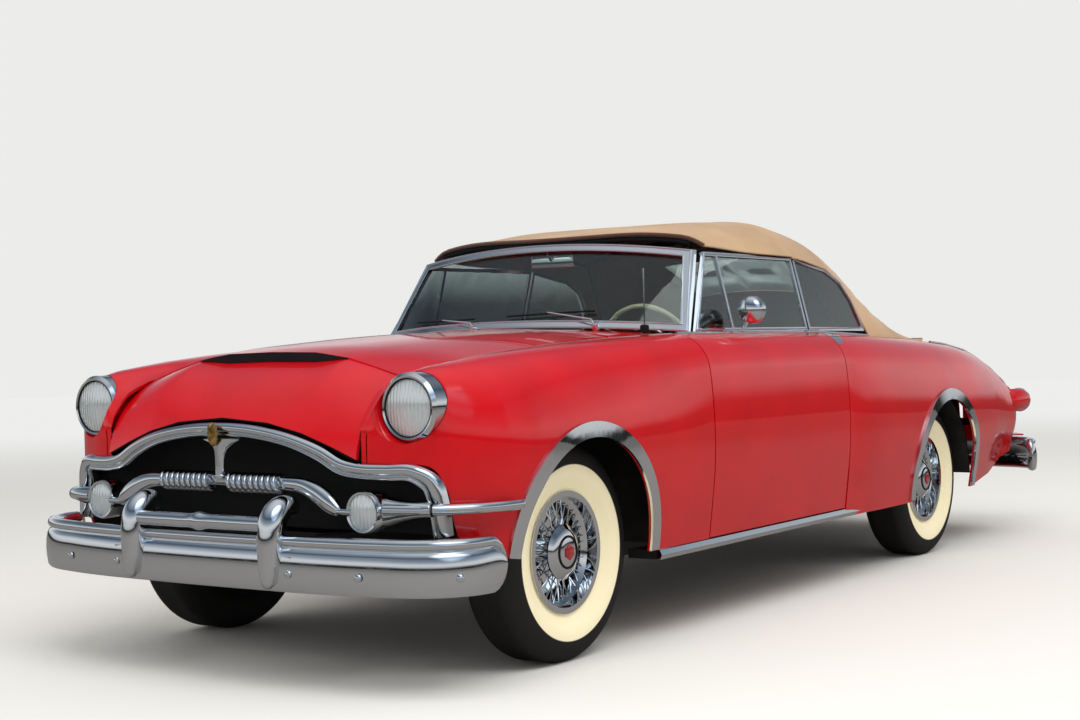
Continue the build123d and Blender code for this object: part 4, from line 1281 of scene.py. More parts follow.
class Body:
    """Panels, glass and the hard parts that keep their own solids."""

    # The painted walls of the hood's seams: x from and to, lowest z
    seam_reach = (0.545, 0.605)
    seam_foot_z = 0.6
    # The height that the inner sides of the panels face
    heart_z = 0.55
    # The door openings: least x, d from and to
    opening_x = 0.78
    opening_reach = (0.6, 2.4)

    def __init__(self, skins: Skins) -> None:
        """Keeps the dressed solids and makes the finishes."""
        self.skins = skins
        self.paint = LacquerPaint()
        self.chrome = PolishedChrome()
        self.glass = ClearGlass()
        self.black = MattBlack()
        self.enamel = ChassisPaint()

    def faces_inwards(self, middle: Vector, way: Vector) -> bool:
        """Whether a face of a side panel looks into the car, off the painted walls of its seams."""
        near, far = self.seam_reach
        if near < abs(middle.x) < far and middle.z > self.seam_foot_z:
            return False
        out = Vector((middle.x, 0, middle.z - self.heart_z))
        return out.length > 0 and way.dot(out.normalized()) < -0.25

    def out_of_sight(self, middle: Vector, way: Vector) -> bool:
        """Whether a face of the tub lies away from the door openings and rockers."""
        front, rear = self.opening_reach
        return abs(middle.x) < self.opening_x or not behind(front) < middle.y < behind(rear)

    def dress(self) -> None:
        """Dresses every solid of the car."""
        sides = ("fender_front_left", "fender_front_right", "quarter_left", "quarter_right")
        painted = (
            "cowl", *sides, "tail_panel", "hood", "trunk_lid", "splash_pan", "tail_pods", "door_left", "door_right",
            "body_tub", "dashboard",
        )
        bright = (
            "arch_trims", "headlamps", "parking_lamps", "wing_bars", "window_frames", "antenna", "door_left_trim",
            "door_right_trim",
        )
        dark = (
            "chassis", "radiator", "rear_axle", "front_suspension", "fuel_tank", "inner_panels", "top_bows",
            "steering_column",
        )
        for names, finish, angle in (
            (painted, self.paint, 32.0),
            (bright, self.chrome, 40.0),
            (dark, self.enamel, 32.0),
            (("fixed_glass", "door_left_glass", "door_right_glass"), self.glass, 32.0),
            (("front_lenses",), FlutedGlass(), 40.0),
            (("tail_lenses",), RedLens(), 40.0),
            # The screen behind the grille takes the near-black finish: painted shade for the dark behind the bars.
            (("grille_back",), self.black, 32.0),
            (("engine",), CastIron(), 32.0),
            (("exhaust", "knuckle_left", "knuckle_right"), ExhaustSteel(), 32.0),
            (("steering_wheel",), IvoryPlastic(), 40.0),
        ):
            for name in names:
                self.skins.dress(name, finish, angle)
        seal = Underseal()
        for name in sides:
            self.skins.second(name, seal, self.faces_inwards)
        self.skins.second("hood", seal, lambda middle, way: way.z < -0.3)
        self.skins.second("body_tub", seal, self.out_of_sight)
        wire = ChromedWire()
        for place, d in AXLES:
            for side in Side:
                centre = (WHEEL_X * side.value, behind(d), TYRE_RADIUS)
                self.skins.dress(f"tyre_{place}_{side.label}", WhitewallTyre(centre, side.value), 40.0)
                self.skins.dress(f"wheel_{place}_{side.label}", wire, 40.0)


@dataclass(frozen=True)
class SubAssembly:
    """Pieces that are built together on the dressed car."""

    body: Body


@dataclass(frozen=True)
class Canopy(SubAssembly):
    """The canvas top as one stretched sheet over its bows, with bound edges and sewn seams."""

    rows: int = 84
    columns: int = 56
    # The front edge's arc: depth at the middle and at the side, half its width
    front_middle: float = 1.130
    front_side: float = 1.256
    front_half: float = 0.72
    half_span: float = 0.70
    tail: float = 3.250
    # Where the top is felt for: height of the middle, distance it is felt from, distance at which it is missed
    eye_z: float = 1.03
    feeler: float = 2.0
    missed: float = 1.99
    # Where the rear window's glass stands in for the top: d from and to, least angle
    rear_glass: tuple[float, float, float] = (2.6, 2.97, 45.0)
    wall: float = 0.004
    seam_share: float = 0.58
    # The rear window's opening: half the width and d of its front and its rear edge
    rear_light: Rows = ((0.330, 2.640), (0.290, 2.930))
    # The folds at the rear quarter and the pull behind the door: d, length, depth
    fold: tuple[float, float, float] = (2.82, 0.36, 0.0062)
    pull: tuple[float, float, float] = (1.98, 0.10, 0.003)
    sag: float = 0.003
    # Where the sheet's lower edge goes: along the windows it drops, behind them it lies on the rear quarters
    window_d: float = 1.95
    window_length: float = 0.55
    window_drop: float = 0.016
    quarter_d: float = 2.60
    quarter_x: float = 0.778
    edge_x: float = 0.768
    draped_share: float = 0.66
    deck_edge: float = 3.254
    deck_z: float = 1.037
    seal_half: float = 0.630
    flat_size: Pair = (1.99, 2.46)

    def outer(self, d: float, angle: float) -> Optional[Vector]:
        """The place on the top's outside in one direction from the cabin's middle.

        Args:
            d: Distance behind the front axle.
            angle: 90 degrees is straight up, 0 towards the left.

        Returns:
            The place, or None where the top has an opening.
        """
        turn = math.radians(angle)
        way = Vector((math.cos(turn), 0, math.sin(turn)))
        start = Vector((0, behind(d), self.eye_z)) + self.feeler * way
        first, last, least = self.rear_glass
        hit = self.body.skins.cast("soft_top", start, -way)
        if (hit is None or (hit[0] - start).length > self.missed) and first < d < last and angle > least:
            hit = self.body.skins.cast("fixed_glass", start, -way)
        if hit is None or (hit[0] - start).length > self.missed:
            return None
        return hit[0]

    def lowest(self, d: float) -> float:
        """How far round the top reaches at one distance, as an angle in degrees."""
        angle = 1.0
        while angle < 88.0 and not self.outer(d, angle):
            angle += 1.0
        high, low = angle, angle - 1.0
        for _ in range(8):
            middle = (high + low) / 2
            if self.outer(d, middle):
                high = middle
            else:
                low = middle
        return high

    def crease(self, d: float, share: float) -> float:
        """How far the canvas stands out in soft folds at the rear quarter.

        Args:
            d: Distance behind the front axle.
            share: 0 at the crown, 1 at the edge.

        Returns:
            Metres outwards.
        """
        fold_d, fold_length, fold_depth = self.fold
        pull_d, pull_length, pull_depth = self.pull
        rear = math.exp(-(((d - fold_d) / fold_length) ** 2)) * min(1.0, max(0.0, share - 0.30) * 2.2)
        fold = math.sin(d * 19.0 + share * 9.0) ** 3 + 0.55 * math.sin(d * 34.0 - share * 13.0)
        pull = math.exp(-(((d - pull_d) / pull_length) ** 2)) * math.sin(share * 9.0) * (share > 0.35)
        sag = -self.sag * math.sin(math.pi * min(1.0, max(0.0, (d - 1.2) / 0.8))) * (1 - share) ** 2
        return (fold_depth * rear * fold + pull_depth * pull) * (1 - share**6) + sag

    def place(self, row: int, column: int, reach: dict[int, float]) -> Vector:
        """One corner of the sheet.

        Args:
            row: From the front edge to the tail.
            column: From the left edge over the crown to the right one.
            reach: The lowest angle, by row.

        Returns:
            Its place.
        """
        share = 1 - 2 * column / self.columns
        along = row / self.rows
        x = abs(share) * self.half_span
        front = arc_depth(x, self.front_middle, self.front_side, self.front_half)
        d = front + (self.tail - front) * along
        if row not in reach:
            edge = arc_depth(self.half_span, self.front_middle, self.front_side, self.front_half)
            reach[row] = self.lowest(edge + (self.tail - edge) * along)
        angle = 90 - (90 - reach[row] - 0.3) * abs(share)
        spot = self.outer(d, angle)
        while spot is None and angle < 90:
            angle += 0.5
            spot = self.outer(d, angle)
        assert spot is not None
        return spot if share >= 0 else Vector((-spot.x, spot.y, spot.z))

    def build(self) -> None:
        """Makes the sheet, its bindings and its seams."""
        reach: dict[int, float] = {}
        half = {
            (row, column): self.place(row, column, reach)
            for row in range(self.rows + 1)
            for column in range(self.columns // 2 + 1)
        }
        rows = []
        for row in range(self.rows + 1):
            left = [half[(row, column)] for column in range(self.columns // 2 + 1)]
            rows.append(left + [Vector((-p.x, p.y, p.z)) for p in left[-2::-1]])
        self.reach_down(rows)
        sheet = Workbench.ribbon(rows)
        self.relax(sheet, 10)
        self.crumple(sheet)
        places = [vertex.co.copy() for vertex in sheet.data.vertices]
        self.cut_rear_light(sheet)
        Workbench.thicken(sheet, self.wall, -1.0)
        Workbench.apply_modifiers(sheet)
        if sheet.data.polygons[0].normal.z < 0:
            Workbench.clean(sheet)
        cloth = CanvasTop()
        canvas = Workbench.finish(sheet, "canvas_top", cloth, "car_body", ["soft_top"], 60.0)
        self.edges(places, cloth)

    def reach_down(self, rows: list[list[Vector]]) -> None:
        """Draws the sides down to the window frames and the tail down to the body.

        Args:
            rows: The sheet's corners, from the front to the tail, changed in place.
        """
        skins = self.body.skins
        for number, row in enumerate(rows):
            d = row[0].y - behind(0.0)
            over = math.exp(-(((d - self.window_d) / self.window_length) ** 4))
            low = skins.top(("quarter_left",), self.quarter_x, d) if d > self.quarter_d else None
            if low:
                lean = Vector((self.edge_x, row[0].y, low.z + 0.001)) - row[0]
            else:
                lean = Vector((0.24, 0, -0.97)) * self.window_drop * over
            for column in range(self.columns // 2 + 1):
                share = 1 - 2 * column / self.columns
                part = lean * max(0.0, (share - self.draped_share) / (1 - self.draped_share)) ** 1.5
                twin = self.columns - column
                row[column] = row[column] + part
                if column != twin:
                    row[twin] = row[twin] + Vector((-part.x, part.y, part.z))
            if number == len(rows) - 1:
                wide = self.edge_x / row[0].x
                row[:] = [Vector((spot.x * wide, behind(self.deck_edge), self.deck_z)) for spot in row]

    def crumple(self, sheet: Piece) -> None:
        """Gives the sheet its soft folds.

        Args:
            sheet: The sheet.
        """
        wide = self.columns + 1
        for index, vertex in enumerate(sheet.data.vertices):
            row, column = divmod(index, wide)
            share = abs(1 - 2 * column / self.columns)
            ease = min(1.0, row / 6, (self.rows - row) / 8)
            way = vertex.normal
            outward = way.z > 0 or abs(way.x) > abs(way.z)
            vertex.co += (way if outward else -way) * self.crease(vertex.co.y - behind(0.0), share) * ease

    def cut_rear_light(self, sheet: Piece) -> None:
        """Cuts the rear window's opening with straight edges.

        Args:
            sheet: The sheet.
        """
        (wide, first), (narrow, last) = self.rear_light
        slope = Vector((last - first, wide - narrow, 0)).normalized()
        planes = [
            (Vector((0, behind(first), 1)), Vector((0, 1, 0))),
            (Vector((0, behind(last), 1)), Vector((0, 1, 0))),
            (Vector((wide, behind(first), 1)), slope),
            (Vector((-wide, behind(first), 1)), Vector((-slope.x, slope.y, 0))),
        ]
        around = 0.05
        front, rear = behind(first - around), behind(last + around)
        with Workbench.editing(sheet):
            bpy.ops.mesh.select_mode(type="FACE")
        for place, way in planes:
            for polygon in sheet.data.polygons:
                polygon.select = abs(polygon.center.x) < wide + around and front < polygon.center.y < rear
            with Workbench.editing(sheet):
                bpy.ops.mesh.bisect(plane_co=place, plane_no=way)
        signs = (1, -1, -1, -1)
        for polygon in sheet.data.polygons:
            polygon.select = all(
                sign * (polygon.center - place).dot(way) > 0 for sign, (place, way) in zip(signs, planes)
            )
        with Workbench.editing(sheet):
            bpy.ops.mesh.delete(type="FACE")

    def relax(self, sheet: Piece, times: int) -> None:
        """Evens out the sheet, its edges held.

        Args:
            sheet: The sheet.
            times: How often it is relaxed.
        """
        with Workbench.editing(sheet):
            bpy.ops.mesh.select_mode(type="VERT")
            bpy.ops.mesh.select_all(action="DESELECT")
        wide = self.columns + 1
        for index, vertex in enumerate(sheet.data.vertices):
            row, column = divmod(index, wide)
            vertex.select = 0 < row < self.rows and 0 < column < self.columns
        with Workbench.editing(sheet):
            bpy.ops.mesh.vertices_smooth(factor=0.5, repeat=times)

    def edges(self, places: Sequence[Vector], cloth: Finish) -> None:
        """Binds the front edge and the tail, hems the sides, seals the front and sews the long seams.

        Args:
            places: The sheet's corners, row by row.
            cloth: The canvas's finish.
        """
        wide = self.columns + 1
        front = [places[column] for column in range(wide)]
        left = [places[row * wide] for row in range(self.rows + 1)]
        tail = [places[self.rows * wide + column] for column in range(wide)]
        webbing = CanvasBinding()
        for name, path, radius in (("header_binding", front, 0.0085), ("tail_binding", tail, 0.005)):
            bar = Workbench.line([p + Vector((0, 0, 0.001)) for p in path], radius, resolution=2)
            Workbench.finish(bar, name, webbing, angle=50.0)
        Workbench.finish_pair(Workbench.line(left, 0.0042, resolution=2), "side_hem", cloth)
        under = [p + Vector((0, 0.012, -0.017)) for p in front if abs(p.x) < self.seal_half]
        seal = Workbench.line(under, 0.0125, resolution=2)
        Workbench.finish(seal, "header_seal", self.body.black, angle=50.0, slot="bright_trim")
        column = round(self.columns / 2 * (1 - self.seam_share))
        seam = [places[row * wide + column] + Vector((0.001, 0, 0.001)) for row in range(self.rows + 1)]
        Workbench.finish_pair(Workbench.line(seam, 0.003, resolution=2), "roof_seam", cloth)


@dataclass(frozen=True)
class BrightWork(SubAssembly):
    """Strips, plates and a near-black sheet in the scoop's slot, painted shade, on the body."""

    strip_radius: float = 0.006
    fender_strip_radius: float = 0.007
    belt_x: float = 0.788
    # Name, panel, d from and to, bodies
    belts: tuple[tuple[str, str, float, float, tuple[str, str]], ...] = (
        ("belt_strip_door", "door_left", 0.822, 1.986, ON_DOORS),
        ("belt_strip_quarter", "quarter_left", 2.004, 2.56, ON_CAR),
    )
    # Outline of the rocker's moulding: x, z
    sill_profile: Rows = (
        (0.903, 0.326), (0.918, 0.322), (0.925, 0.306), (0.918, 0.290), (0.903, 0.286),
    )
    sill_reach: Pair = (0.455, 2.66)
    sill_wall: float = 0.002
    # The strip on the rear fender: x from and to, d from and to
    fender_x: Pair = (0.790, 0.760)
    fender_reach: Pair = (3.30, 4.20)
    # The plate behind the door's seam: x, length
    dogleg_rows: Rows = (
        (0.790, 0.125), (0.820, 0.122), (0.850, 0.110), (0.878, 0.085), (0.900, 0.045),
    )
    dogleg_d: float = 2.003
    dogleg_wall: float = 0.0015
    # The hood's upright step: half the slot's width, d of the step and of the painted-shade sheet, heights felt through
    slot_half: float = 0.335
    step_d: float = -0.505
    mesh_d: float = -0.507
    step_heights: Pair = (1.0, 1.06)

    def belt_strips(self) -> None:
        """Strips below the side windows."""
        for name, node, start, end, bodies in self.belts:
            path = [self.body.skins.top((node,), self.belt_x, d, 0.002) for d in steps(start, end, 14)]
            bar = Workbench.line([p for p in path if p], self.strip_radius)
            Workbench.finish_pair(bar, name, self.body.chrome, bodies, 40.0)

    def sill_strips(self) -> None:
        """Bright mouldings along the rockers, below the doors."""
        rows = [[(x, behind(d), z) for d in steps(*self.sill_reach, 24)] for x, z in self.sill_profile]
        strip = Workbench.ribbon(rows)
        with Workbench.editing(strip):
            bpy.ops.mesh.select_all(action="SELECT")
            bpy.ops.mesh.edge_face_add()
        Workbench.thicken(strip, self.sill_wall, 0.0)
        Workbench.apply_modifiers(strip)
        Workbench.finish_pair(strip, "sill_strip", self.body.chrome, angle=40.0)

    def fender_strips(self) -> None:
        """Strips along the tops of the rear fenders."""
        places = zip(steps(*self.fender_x, 18), steps(*self.fender_reach, 18))
        path = [self.body.skins.top(("quarter_left",), x, d, 0.001) for x, d in places]
        bar = Workbench.line([p for p in path if p], self.fender_strip_radius)
        Workbench.finish_pair(bar, "fender_top_strip", self.body.chrome, angle=40.0)

    def dogleg_plates(self) -> None:
        """Bright plates on the rear quarters behind the door seams."""
        rows = []
        for x, length in self.dogleg_rows:
            marks = steps(self.dogleg_d, self.dogleg_d + length, 6)
            rows.append([self.body.skins.top(("quarter_left",), x, d, self.dogleg_wall) for d in marks])
        plate = Workbench.ribbon(rows, self.dogleg_wall, 1.0)
        Workbench.clean(plate)
        Workbench.finish_pair(plate, "dogleg_plate", self.body.chrome, angle=40.0)

    def scoop_slot(self) -> None:
        """Near-black sheet on the hood's upright step: painted shade standing in for the dark inside the air slot."""
        upper, lower = [], []
        for x in steps(-self.slot_half, self.slot_half, 30):
            heights = [z for z in steps(*self.step_heights, 61) if self.on_step(x, z)]
            low, high = (min(heights), max(heights)) if heights else (1.02, 1.021)
            upper.append((x, behind(self.mesh_d), high - 0.001))
            lower.append((x, behind(self.mesh_d), low + 0.001))
        # The sheet takes the near-black finish: painted shade over the step's face.
        slot = Workbench.ribbon([lower, upper], 0.003, 0.0)
        Workbench.clean(slot)
        Workbench.finish(slot, "scoop_slot", self.body.black, "hood_lid", angle=30.0)

    def on_step(self, x: float, z: float) -> bool:
        """Whether the hood's upright step faces forward at a place."""
        hit = self.body.skins.cast("hood", (x, behind(-0.9), z), (0, 1, 0))
        return bool(hit and abs(hit[0].y - behind(self.step_d)) < 0.004)

    def build(self) -> None:
        """Makes the strips, the plates and the painted-shade sheet in the slot."""
        self.belt_strips()
        self.sill_strips()
        self.fender_strips()
        self.dogleg_plates()
        self.scoop_slot()


@dataclass(frozen=True)
class Nose(SubAssembly):
    """The bright arch, the toothed bar, the lamps' rings and pods, and the bare crest."""

    # Middle line of the arch's left half: x, d, z, half the width
    arch_line: Rows = (
        (0.802, -0.646, 0.480, 0.031), (0.789, -0.654, 0.585, 0.035), (0.774, -0.664, 0.640, 0.036),
        (0.733, -0.690, 0.673, 0.029), (0.650, -0.716, 0.677, 0.0265), (0.565, -0.738, 0.680, 0.0260),
        (0.497, -0.749, 0.692, 0.0265), (0.420, -0.757, 0.730, 0.0250), (0.328, -0.767, 0.764, 0.0225),
        (0.170, -0.773, 0.795, 0.0220), (0.0, -0.776, 0.8045, 0.0225),
    )
    arch_depth: float = 0.021
    # Outline of the arch: outwards, forwards
    arch_profile: Rows = (
        (1.0, -0.8), (1.0, 0.1), (0.88, 0.58), (0.6, 0.92), (0.25, 1.0), (-0.1, 0.9), (-0.33, 0.62), (-0.42, 0.36),
        (-0.52, 0.34), (-0.62, 0.52), (-0.78, 0.55), (-0.93, 0.38), (-1.0, 0.05), (-1.0, -0.8),
    )
    bar_d: float = -0.742
    tooth_count: int = 9
    tooth_start: float = 0.053
    tooth_pitch: float = 0.025
    # Front post, widening into the arch: z, half the width
    post_widths: Rows = (
        (0.645, 0.013), (0.690, 0.012), (0.712, 0.014), (0.730, 0.019), (0.744, 0.027), (0.756, 0.040),
        (0.767, 0.058), (0.777, 0.082),
    )
    # Middle line of the bar's left half: x, z, radius
    bar_line: Rows = (
        (0.0, 0.640, 0.018), (0.14, 0.638, 0.020), (0.28, 0.635, 0.022), (0.355, 0.628, 0.026),
        (0.415, 0.604, 0.031), (0.462, 0.573, 0.028), (0.494, 0.552, 0.016),
    )
    lamp_x: float = 0.707
    lamp_z: float = 0.872
    sleeve_radius: float = 0.1088
    # The fillet beside the hood's seam: z from and to, x felt through, x of the seam
    fillet_z: Pair = (0.706, 0.850)
    fillet_x: Pair = (0.562, 0.640)
    seam_x: float = 0.5655
    # Middle line of the left pod: x, d, z, radius
    pod_line: Rows = (
        (0.604, -0.684, 0.557, 0.050), (0.640, -0.688, 0.558, 0.048), (0.690, -0.692, 0.561, 0.036),
        (0.750, -0.692, 0.565, 0.0260), (0.806, -0.676, 0.566, 0.0215),
    )

    def put(self, piece: Piece, name: str, replaces: Sequence[str] = ()) -> None:
        """Finishes a bright piece on the car's body."""
        Workbench.finish(piece, name, self.body.chrome, "car_body", replaces, 50.0)

    def arch(self) -> None:
        """Makes the arch over the grille mouth, with a groove above its lower lip."""
        left = [(x, behind(d + 0.020), z, wide) for x, d, z, wide in self.arch_line]
        knots = left + [(-x, y, z, wide) for x, y, z, wide in left[-2::-1]]
        arch = Workbench.sweep(Flow(knots), self.arch_profile, 130, (0, -1, 0), depth=self.arch_depth)
        self.put(arch, "grille_arch", ["grille_surround"])

    def bar(self) -> None:
        """Makes the bar with its blades, its ribs and the post."""
        left = [(x, behind(self.bar_d), z, radius) for x, z, radius in self.bar_line]
        knots = [(-x, y, z, radius) for x, y, z, radius in left[:0:-1]] + left
        pieces = [Workbench.tube(knots, 90, (0, -1, 0), 0.008, 0.8)]
        for side in (-1, 1):
            for number in range(self.tooth_count):
                x = side * (self.tooth_start + number * self.tooth_pitch)
                rib = Workbench.ring((x, behind(self.bar_d - 0.004), 0.635), (1, 0.0, 0.22), 0.0300, 0.0070)
                rib.scale = (1.08, 0.92, 1.0)
                Workbench.settle_place(rib)
                pieces.append(rib)
        rows = []
        for z, half in self.post_widths:
            droop = 0.004 * (half > 0.03)
            rows.append(
                [(half * t, behind(-0.752 - 0.018 * (1 - t * t)), z - droop * (t * t)) for t in steps(-1.0, 1.0, 11)]
            )
        pieces.append(Workbench.ribbon(rows, 0.010, 0.0, 0.003))
        foot = Workbench.disc((0, behind(-0.754), 0.652), (0, 0, 1), 0.021, 0.016, 24, 0.004)
        pieces.append(foot)
        self.put(Workbench.join(pieces), "toothed_bar", ["grille_bar"])

    def crest(self) -> None:
        """Makes the bare gilt crest on the arch."""
        Workbench.clear()
        bpy.ops.mesh.primitive_cylinder_add(vertices=8, radius=1.0, depth=0.010, location=(0, behind(-0.787), 0.790))
        crest = bpy.context.object
        crest.rotation_euler = (math.radians(90 + 5), 0, 0)
        crest.scale = (0.023, 0.040, 1.0)
        Workbench.settle_place(crest)
        Workbench.round_edges(crest, 0.003)
        Workbench.apply_modifiers(crest)
        Workbench.finish(crest, "crest", Brass(), angle=30.0, slot="bright_trim")

    def fender_at(self, x: float, z: float) -> Optional[float]:
        """The y at which the left fender's nose is met from ahead.

        Args:
            x: Distance from the car's middle.
            z: Height.

        Returns:
            The y, or None beside the fender.
        """
        hit = self.body.skins.cast("fender_front_left", (x, behind(-1.2), z), (0, 1, 0))
        return hit[0].y if hit else None

    def sleeve(self, side: int) -> Piece:
        """The painted wall between a headlamp and the fender's skin.

        Args:
            side: 1 on the left, -1 on the right.

        Returns:
            The wall, as a mesh.
        """
        front, back = [], []
        for number in range(73):
            turn = math.tau * number / 72
            ahead = 0.0
            for reach in (0.1115, 0.1150):
                y = self.fender_at(self.lamp_x + reach * math.cos(turn), self.lamp_z + reach * math.sin(turn))
                ahead = ahead if y is None else min(ahead, y - behind(0.0) + 0.001)
            x = self.lamp_x + self.sleeve_radius * math.cos(turn)
            z = self.lamp_z + self.sleeve_radius * math.sin(turn)
            front.append((side * x, behind(min(ahead or -0.6, -0.600)), z))
            back.append((side * x, behind(-0.520), z))
        wall = Workbench.ribbon([front, back], 0.0015, 0.0)
        Workbench.clean(wall)
        return wall

    def fillet(self, side: int) -> Piece:
        """The painted corner between the hood's seam and the fender's nose.

        Args:
            side: 1 on the left, -1 on the right.

        Returns:
            The corner, as a mesh.
        """
        rows = []
        for z in steps(*self.fillet_z, 19):
            met = ((x, self.fender_at(x, z)) for x in steps(*self.fillet_x, 79))
            hits = [(x, y) for x, y in met if y is not None and y < behind(-0.60)]
            edge, y = hits[0] if hits else (0.566, behind(-0.72))
            end = max(self.seam_x + 0.002, edge + 0.003)
            rows.append([(side * x, y + 0.0015, z) for x in steps(self.seam_x, end, 4)])
        corner = Workbench.ribbon(rows, 0.003, 0.0)
        Workbench.clean(corner)
        return corner

    def lamps(self) -> None:
        """Makes rings, painted sleeves, corners and pods for the front lamps."""
        paint, black = self.body.paint, self.body.black
        for each in Side:
            name, side = each.label, each.value
            ring = Workbench.ring((side * self.lamp_x, behind(-0.660), self.lamp_z), (0, 1, 0), 0.0905, 0.0032)
            Workbench.finish(ring, f"headlamp_ring_{name}", black, angle=50.0, slot="bright_trim")
            Workbench.finish(self.sleeve(side), f"headlamp_sleeve_{name}", paint, angle=40.0)
            Workbench.finish(self.fillet(side), f"nose_fillet_{name}", paint, angle=40.0)
            pod = Workbench.tube([(side * x, behind(d), z, r) for x, d, z, r in self.pod_line], 24, ends=0.004)
            link = Workbench.tube([(side * x, behind(self.bar_d), 0.556, 0.011) for x in (0.480, 0.510, 0.545)], 6)
            tip = Workbench.dome((side * 0.946, behind(-0.430), 0.566), (side * 0.208, 0.978, 0), 0.017, 0.032, 24)
            self.put(Workbench.join([pod, link, tip]), f"parking_pod_{name}")
            x, d, z, _ = self.pod_line[-1]
            collar = Workbench.ring((side * x, behind(d), z), (side * 0.91, 0.41, 0), 0.0185, 0.003)
            Workbench.finish(collar, f"pod_collar_{name}", black, angle=50.0, slot="bright_trim")

    def build(self) -> None:
        """Makes every piece of the nose."""
        self.arch()
        self.bar()
        self.crest()
        self.lamps()


@dataclass(frozen=True)
class Bumpers(SubAssembly):
    """Rolled bumper blades and the horns on the front one."""

    # Plan of the left half: x, d
    front_plan: Rows = (
        (0.0, -0.868), (0.24, -0.864), (0.48, -0.854), (0.66, -0.829), (0.80, -0.794), (0.90, -0.730),
        (0.948, -0.654), (0.966, -0.518),
    )
    rear_plan: Rows = (
        (0.0, 4.568), (0.30, 4.566), (0.56, 4.560), (0.70, 4.544), (0.83, 4.512), (0.91, 4.455),
        (0.948, 4.390), (0.966, 4.270),
    )
    middle_z: float = 0.398
    # The arms of each blade, beside each other: x, width, then d from and to and z from and to
    arm_x: float = 0.370
    arm_width: float = 0.050
    front_arm: tuple[float, ...] = (-0.858, -0.700, 0.385, 0.425)
    rear_arm: tuple[float, ...] = (4.300, 4.564, 0.410, 0.450)
    # Outline of a blade: outwards, up from its middle
    profile: Rows = (
        (-0.038, -0.074), (-0.024, -0.083), (-0.012, -0.084), (-0.005, -0.076), (-0.001, -0.050), (0.001, -0.020),
        (0.0, 0.010), (-0.004, 0.034), (-0.010, 0.046), (-0.017, 0.051), (-0.018, 0.055), (-0.010, 0.058),
        (-0.006, 0.066), (-0.007, 0.076), (-0.014, 0.085), (-0.026, 0.089), (-0.040, 0.086), (-0.048, 0.076),
        (-0.046, 0.060), (-0.034, 0.046), (-0.022, 0.030), (-0.014, 0.0), (-0.014, -0.040), (-0.020, -0.066),
    )
    horn_x: float = 0.307
    # Middle line of a horn: d, z, radius
    horn_line: Rows = (
        (-0.868, 0.322, 0.016), (-0.864, 0.362, 0.029), (-0.858, 0.420, 0.038), (-0.852, 0.485, 0.043),
        (-0.838, 0.536, 0.044), (-0.806, 0.562, 0.042), (-0.772, 0.565, 0.038), (-0.745, 0.562, 0.033),
    )
    # The bar between the horns: x, radius
    rail: Rows = (
        (-0.300, 0.024), (-0.10, 0.025), (-0.030, 0.026), (0.0, 0.031), (0.030, 0.026), (0.10, 0.025), (0.300, 0.024),
    )
    rail_d: float = -0.850
    rail_z: float = 0.518
    # Bolt heads on the front blade: x, d, lean outwards
    bolt_rows: Rows = ((0.385, -0.8595, 0.05), (0.644, -0.834, 0.16), (0.925, -0.700, 0.75))
    bolt_z: float = 0.372

    def blade(self, plan: Sequence[tuple[float, float]], way: int) -> Piece:
        """One bumper blade with rounded ends.

        Args:
            plan: Its left half from above: x, d.
            way: -1 at the front, 1 at the rear.

        Returns:
            The blade, as a mesh.
        """
        left = [(x, behind(d), self.middle_z, 1.0) for x, d in plan]
        knots = [(-x, y, z, w) for x, y, z, w in left[:0:-1]] + left
        if way > 0:
            knots.reverse()
        return Workbench.sweep(Flow(knots), self.profile, 100, ends=0.05)

    def brackets(self, start: float, end: float, low: float, high: float) -> list[Piece]:
        """The straight arms that carry a blade.

        Args:
            start: Their front end, behind the front axle.
            end: Their rear end.
            low: Their lower side.
            high: Their upper side.

        Returns:
            Both arms.
        """
        size = (self.arm_width, end - start, high - low)
        d, z = (start + end) / 2, (low + high) / 2
        return [Workbench.box((side * self.arm_x, behind(d), z), size) for side in (-1, 1)]

    def horns(self) -> None:
        """Makes the horns and the bar between them."""
        pieces = []
        for side in (-1, 1):
            knots = [(side * self.horn_x, behind(d), z, radius) for d, z, radius in self.horn_line]
            pieces.append(Workbench.tube(knots, 36, (1, 0, 0), 0.014, sides=28))
        rail = [(x, behind(self.rail_d), self.rail_z, radius) for x, radius in self.rail]
        pieces.append(Workbench.tube(rail, 60, sides=24))
        Workbench.finish(Workbench.join(pieces), "bumper_horns", self.body.chrome, "car_body", ["bumper_guards"], 50.0)

    def bolts(self) -> None:
        """Makes the round bolt heads."""
        heads = []
        for side in (-1, 1):
            for x, d, lean in self.bolt_rows:
                place = (side * x, behind(d - 0.002), self.bolt_z)
                heads.append(Workbench.dome(place, (side * lean, -1, 0), 0.013, 0.009, 20))
        Workbench.finish(Workbench.join(heads), "bumper_bolts", self.body.chrome, angle=40.0)

    def build(self) -> None:
        """Makes both bumpers."""
        front = [self.blade(self.front_plan, -1), *self.brackets(*self.front_arm)]
        Workbench.finish(Workbench.join(front), "front_blade", self.body.chrome, "car_body", ["front_bumper"], 50.0)
        rear = [self.blade(self.rear_plan, 1), *self.brackets(*self.rear_arm)]
        Workbench.finish(Workbench.join(rear), "rear_blade", self.body.chrome, "car_body", ["rear_bumper"], 50.0)
        self.horns()
        self.bolts()


